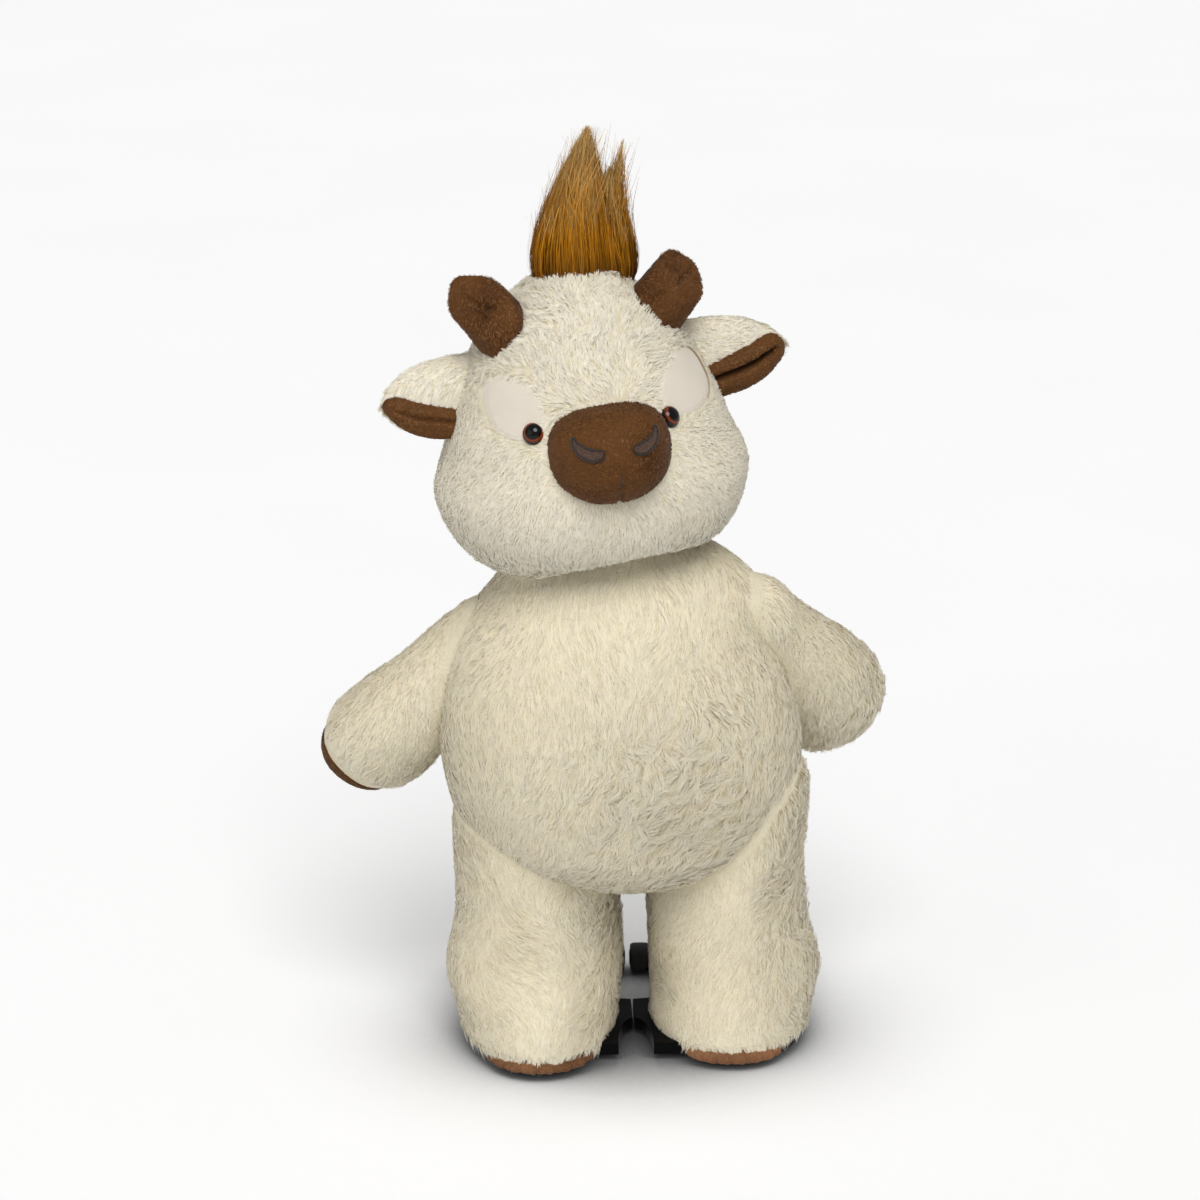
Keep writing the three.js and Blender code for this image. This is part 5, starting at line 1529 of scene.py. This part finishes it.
def sole_skin(name, u, v):
    """A toe cap's half disc over its node's box, its border gathered in wrinkles."""
    low, high = box_of(f"toe_cap_{name}")
    x, back = (low[0] + high[0]) / 2, high[1]
    across, along = ring(u)
    rim = np.sin(np.pi * v) ** 0.45
    wrinkle = 1.5 * np.sin(26 * 2 * np.pi * u) * np.sin(9 * 2 * np.pi * u + 1) * np.sin(np.pi * v)
    y = back + np.where(along < 0, (back - low[1] - 1 + wrinkle) * rim * along, 0.5 * along)
    x = x + ((high[0] - low[0]) / 2 - 1 + wrinkle) * rim * across
    return xyz(x, y, low[2] + 1.0 + (high[2] - low[2]) * eased(v))


class CALF_OT_soles(bpy.types.Operator):
    """The brown suede toe caps, gathered in wrinkles under the feet."""

    bl_idname = "calf.soles"
    bl_label = "Soles"

    def execute(self, context):
        material = short_minky("brushed_suede_sole", colour("#4A2E1C"), colour("#8E6546"), 700.0)
        for name in SIDE:
            sole = closed_skin(f"sole_{name}", partial(sole_skin, name), 220, 24, material)
            dress(sole, f"foot_{name}", "brown_plush", f"toe_cap_{name}", fill=0.5)
        return {"FINISHED"}


def tyre_skin(node, u, v):
    """A roller turned about its axle, with a bore, stepped cheeks, rounded shoulders and a crowned tread."""
    low, high = box_of(node)
    centre, half, radius = (low + high) / 2, (high[0] - low[0]) / 2, (high[2] - low[2]) / 2
    bore = 2.3
    right = [(0, bore), (half, bore), (half, radius - 5), (half - 1, radius - 3.4)]
    right += [(half - 0.5, radius - 1.4), (half - 2, radius - 0.2), (half * 0.3, radius)]
    line = np.array(right + [(-x, r) for x, r in reversed(right)], float)
    run = np.concatenate([[0], np.cumsum(np.hypot(*np.diff(line, axis=0).T))])
    x, radius = (np.interp(v * run[-1], run, line[:, n]) for n in range(2))
    across, up = ring(u)
    return xyz(centre[0] + x, centre[1] + radius * across, centre[2] + radius * up)


class CALF_OT_rollers(bpy.types.Operator):
    """The four moulded rollers under the foot plates."""

    bl_idname = "calf.rollers"
    bl_label = "Rollers"

    def execute(self, context):
        material = moulded_plastic("moulded_black_rubber", colour("#17181A"), 0.55, 900.0, 0.0002)
        for name in SIDE:
            for place in ("inner", "outer"):
                node = f"roller_{place}_{name}"
                tyre = closed_ring(f"tyre_{place}_{name}", partial(tyre_skin, node), 64, 66, material)
                dress(tyre, f"rollers_{name}", "roller_rubber", node)
        return {"FINISHED"}


class CALF_OT_works(bpy.types.Operator):
    """Finishes for the inner works and the black foot plates."""

    bl_idname = "calf.works"
    bl_label = "Works and foot plates"

    def execute(self, context):
        black = moulded_plastic("moulded_black_abs", colour("#040506"), 0.5, shine=0.06)
        grey = moulded_plastic("moulded_grey_abs", colour("#9C9EA1"), 0.5)
        ivory = moulded_plastic("moulded_ivory_acetal", colour("#E6E0D2"), 0.38, 2200.0, 0.0001)
        steel = drawn_steel("cold_drawn_steel")
        can = drawn_steel("zinc_plated_steel_can", (900.0, 20.0, 900.0))
        sleeve = moulded_plastic("shrink_sleeve_pvc", colour("#3E7049"), 0.25, 300.0, 0.0001)
        finishes = (
            (("foot_plate", "battery_holder", "battery_cover", "switch"), black),
            (("crank", "idler", "motor_pinion"), ivory),
            (("motor",), can),
            (("hip_axle", "ankle_pin", "roller_axle"), steel),
            (("battery_cell",), sleeve),
            (("",), grey),
        )
        for name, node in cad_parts.items():
            if not node.hide_render:
                chosen = next(finish for starts, finish in finishes if name.startswith(starts))
                node.data.materials.clear()
                node.data.materials.append(chosen)
        return {"FINISHED"}


STEPS = (
    CALF_OT_stage, CALF_OT_belly, CALF_OT_flap, CALF_OT_legs, CALF_OT_arms, CALF_OT_head, CALF_OT_ears,
    CALF_OT_horns, CALF_OT_face, CALF_OT_tuft, CALF_OT_soles, CALF_OT_rollers, CALF_OT_works,
)
SETTINGS = {
    "calf_fur": (CalfFurSettings, "Fur"),
    "calf_face": (CalfFaceSettings, "Face"),
    "calf_tuft": (CalfTuftSettings, "Hair tuft"),
    "calf_stage": (CalfStageSettings, "Stage"),
}


class CALF_PT_panel(bpy.types.Panel):
    """Lists the settings and the pieces."""

    bl_idname = "CALF_PT_panel"
    bl_label = "Plush calf"
    bl_space_type = "VIEW_3D"
    bl_region_type = "UI"
    bl_category = "Plush calf"

    def draw(self, context):
        for key, (_, title) in SETTINGS.items():
            group = getattr(context.scene, key)
            box = self.layout.box()
            box.label(text=title)
            for name in group.bl_rna.properties.keys():
                if name not in ("rna_type", "name"):
                    box.prop(group, name)
        for step in STEPS:
            self.layout.operator(step.bl_idname)


def register():
    """Makes the settings, the steps and the panel known."""
    for key, (group, _) in SETTINGS.items():
        bpy.utils.register_class(group)
        setattr(bpy.types.Scene, key, bpy.props.PointerProperty(type=group))
    for step in (*STEPS, CALF_PT_panel):
        bpy.utils.register_class(step)


def unregister():
    """Takes them away again."""
    for step in (CALF_PT_panel, *reversed(STEPS)):
        bpy.utils.unregister_class(step)
    for key, (group, _) in SETTINGS.items():
        delattr(bpy.types.Scene, key)
        bpy.utils.unregister_class(group)


def main():
    """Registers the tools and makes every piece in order."""
    register()
    for step in STEPS:
        group, name = step.bl_idname.split(".")
        getattr(getattr(bpy.ops, group), name)()


if __name__ == "__main__":
    main()
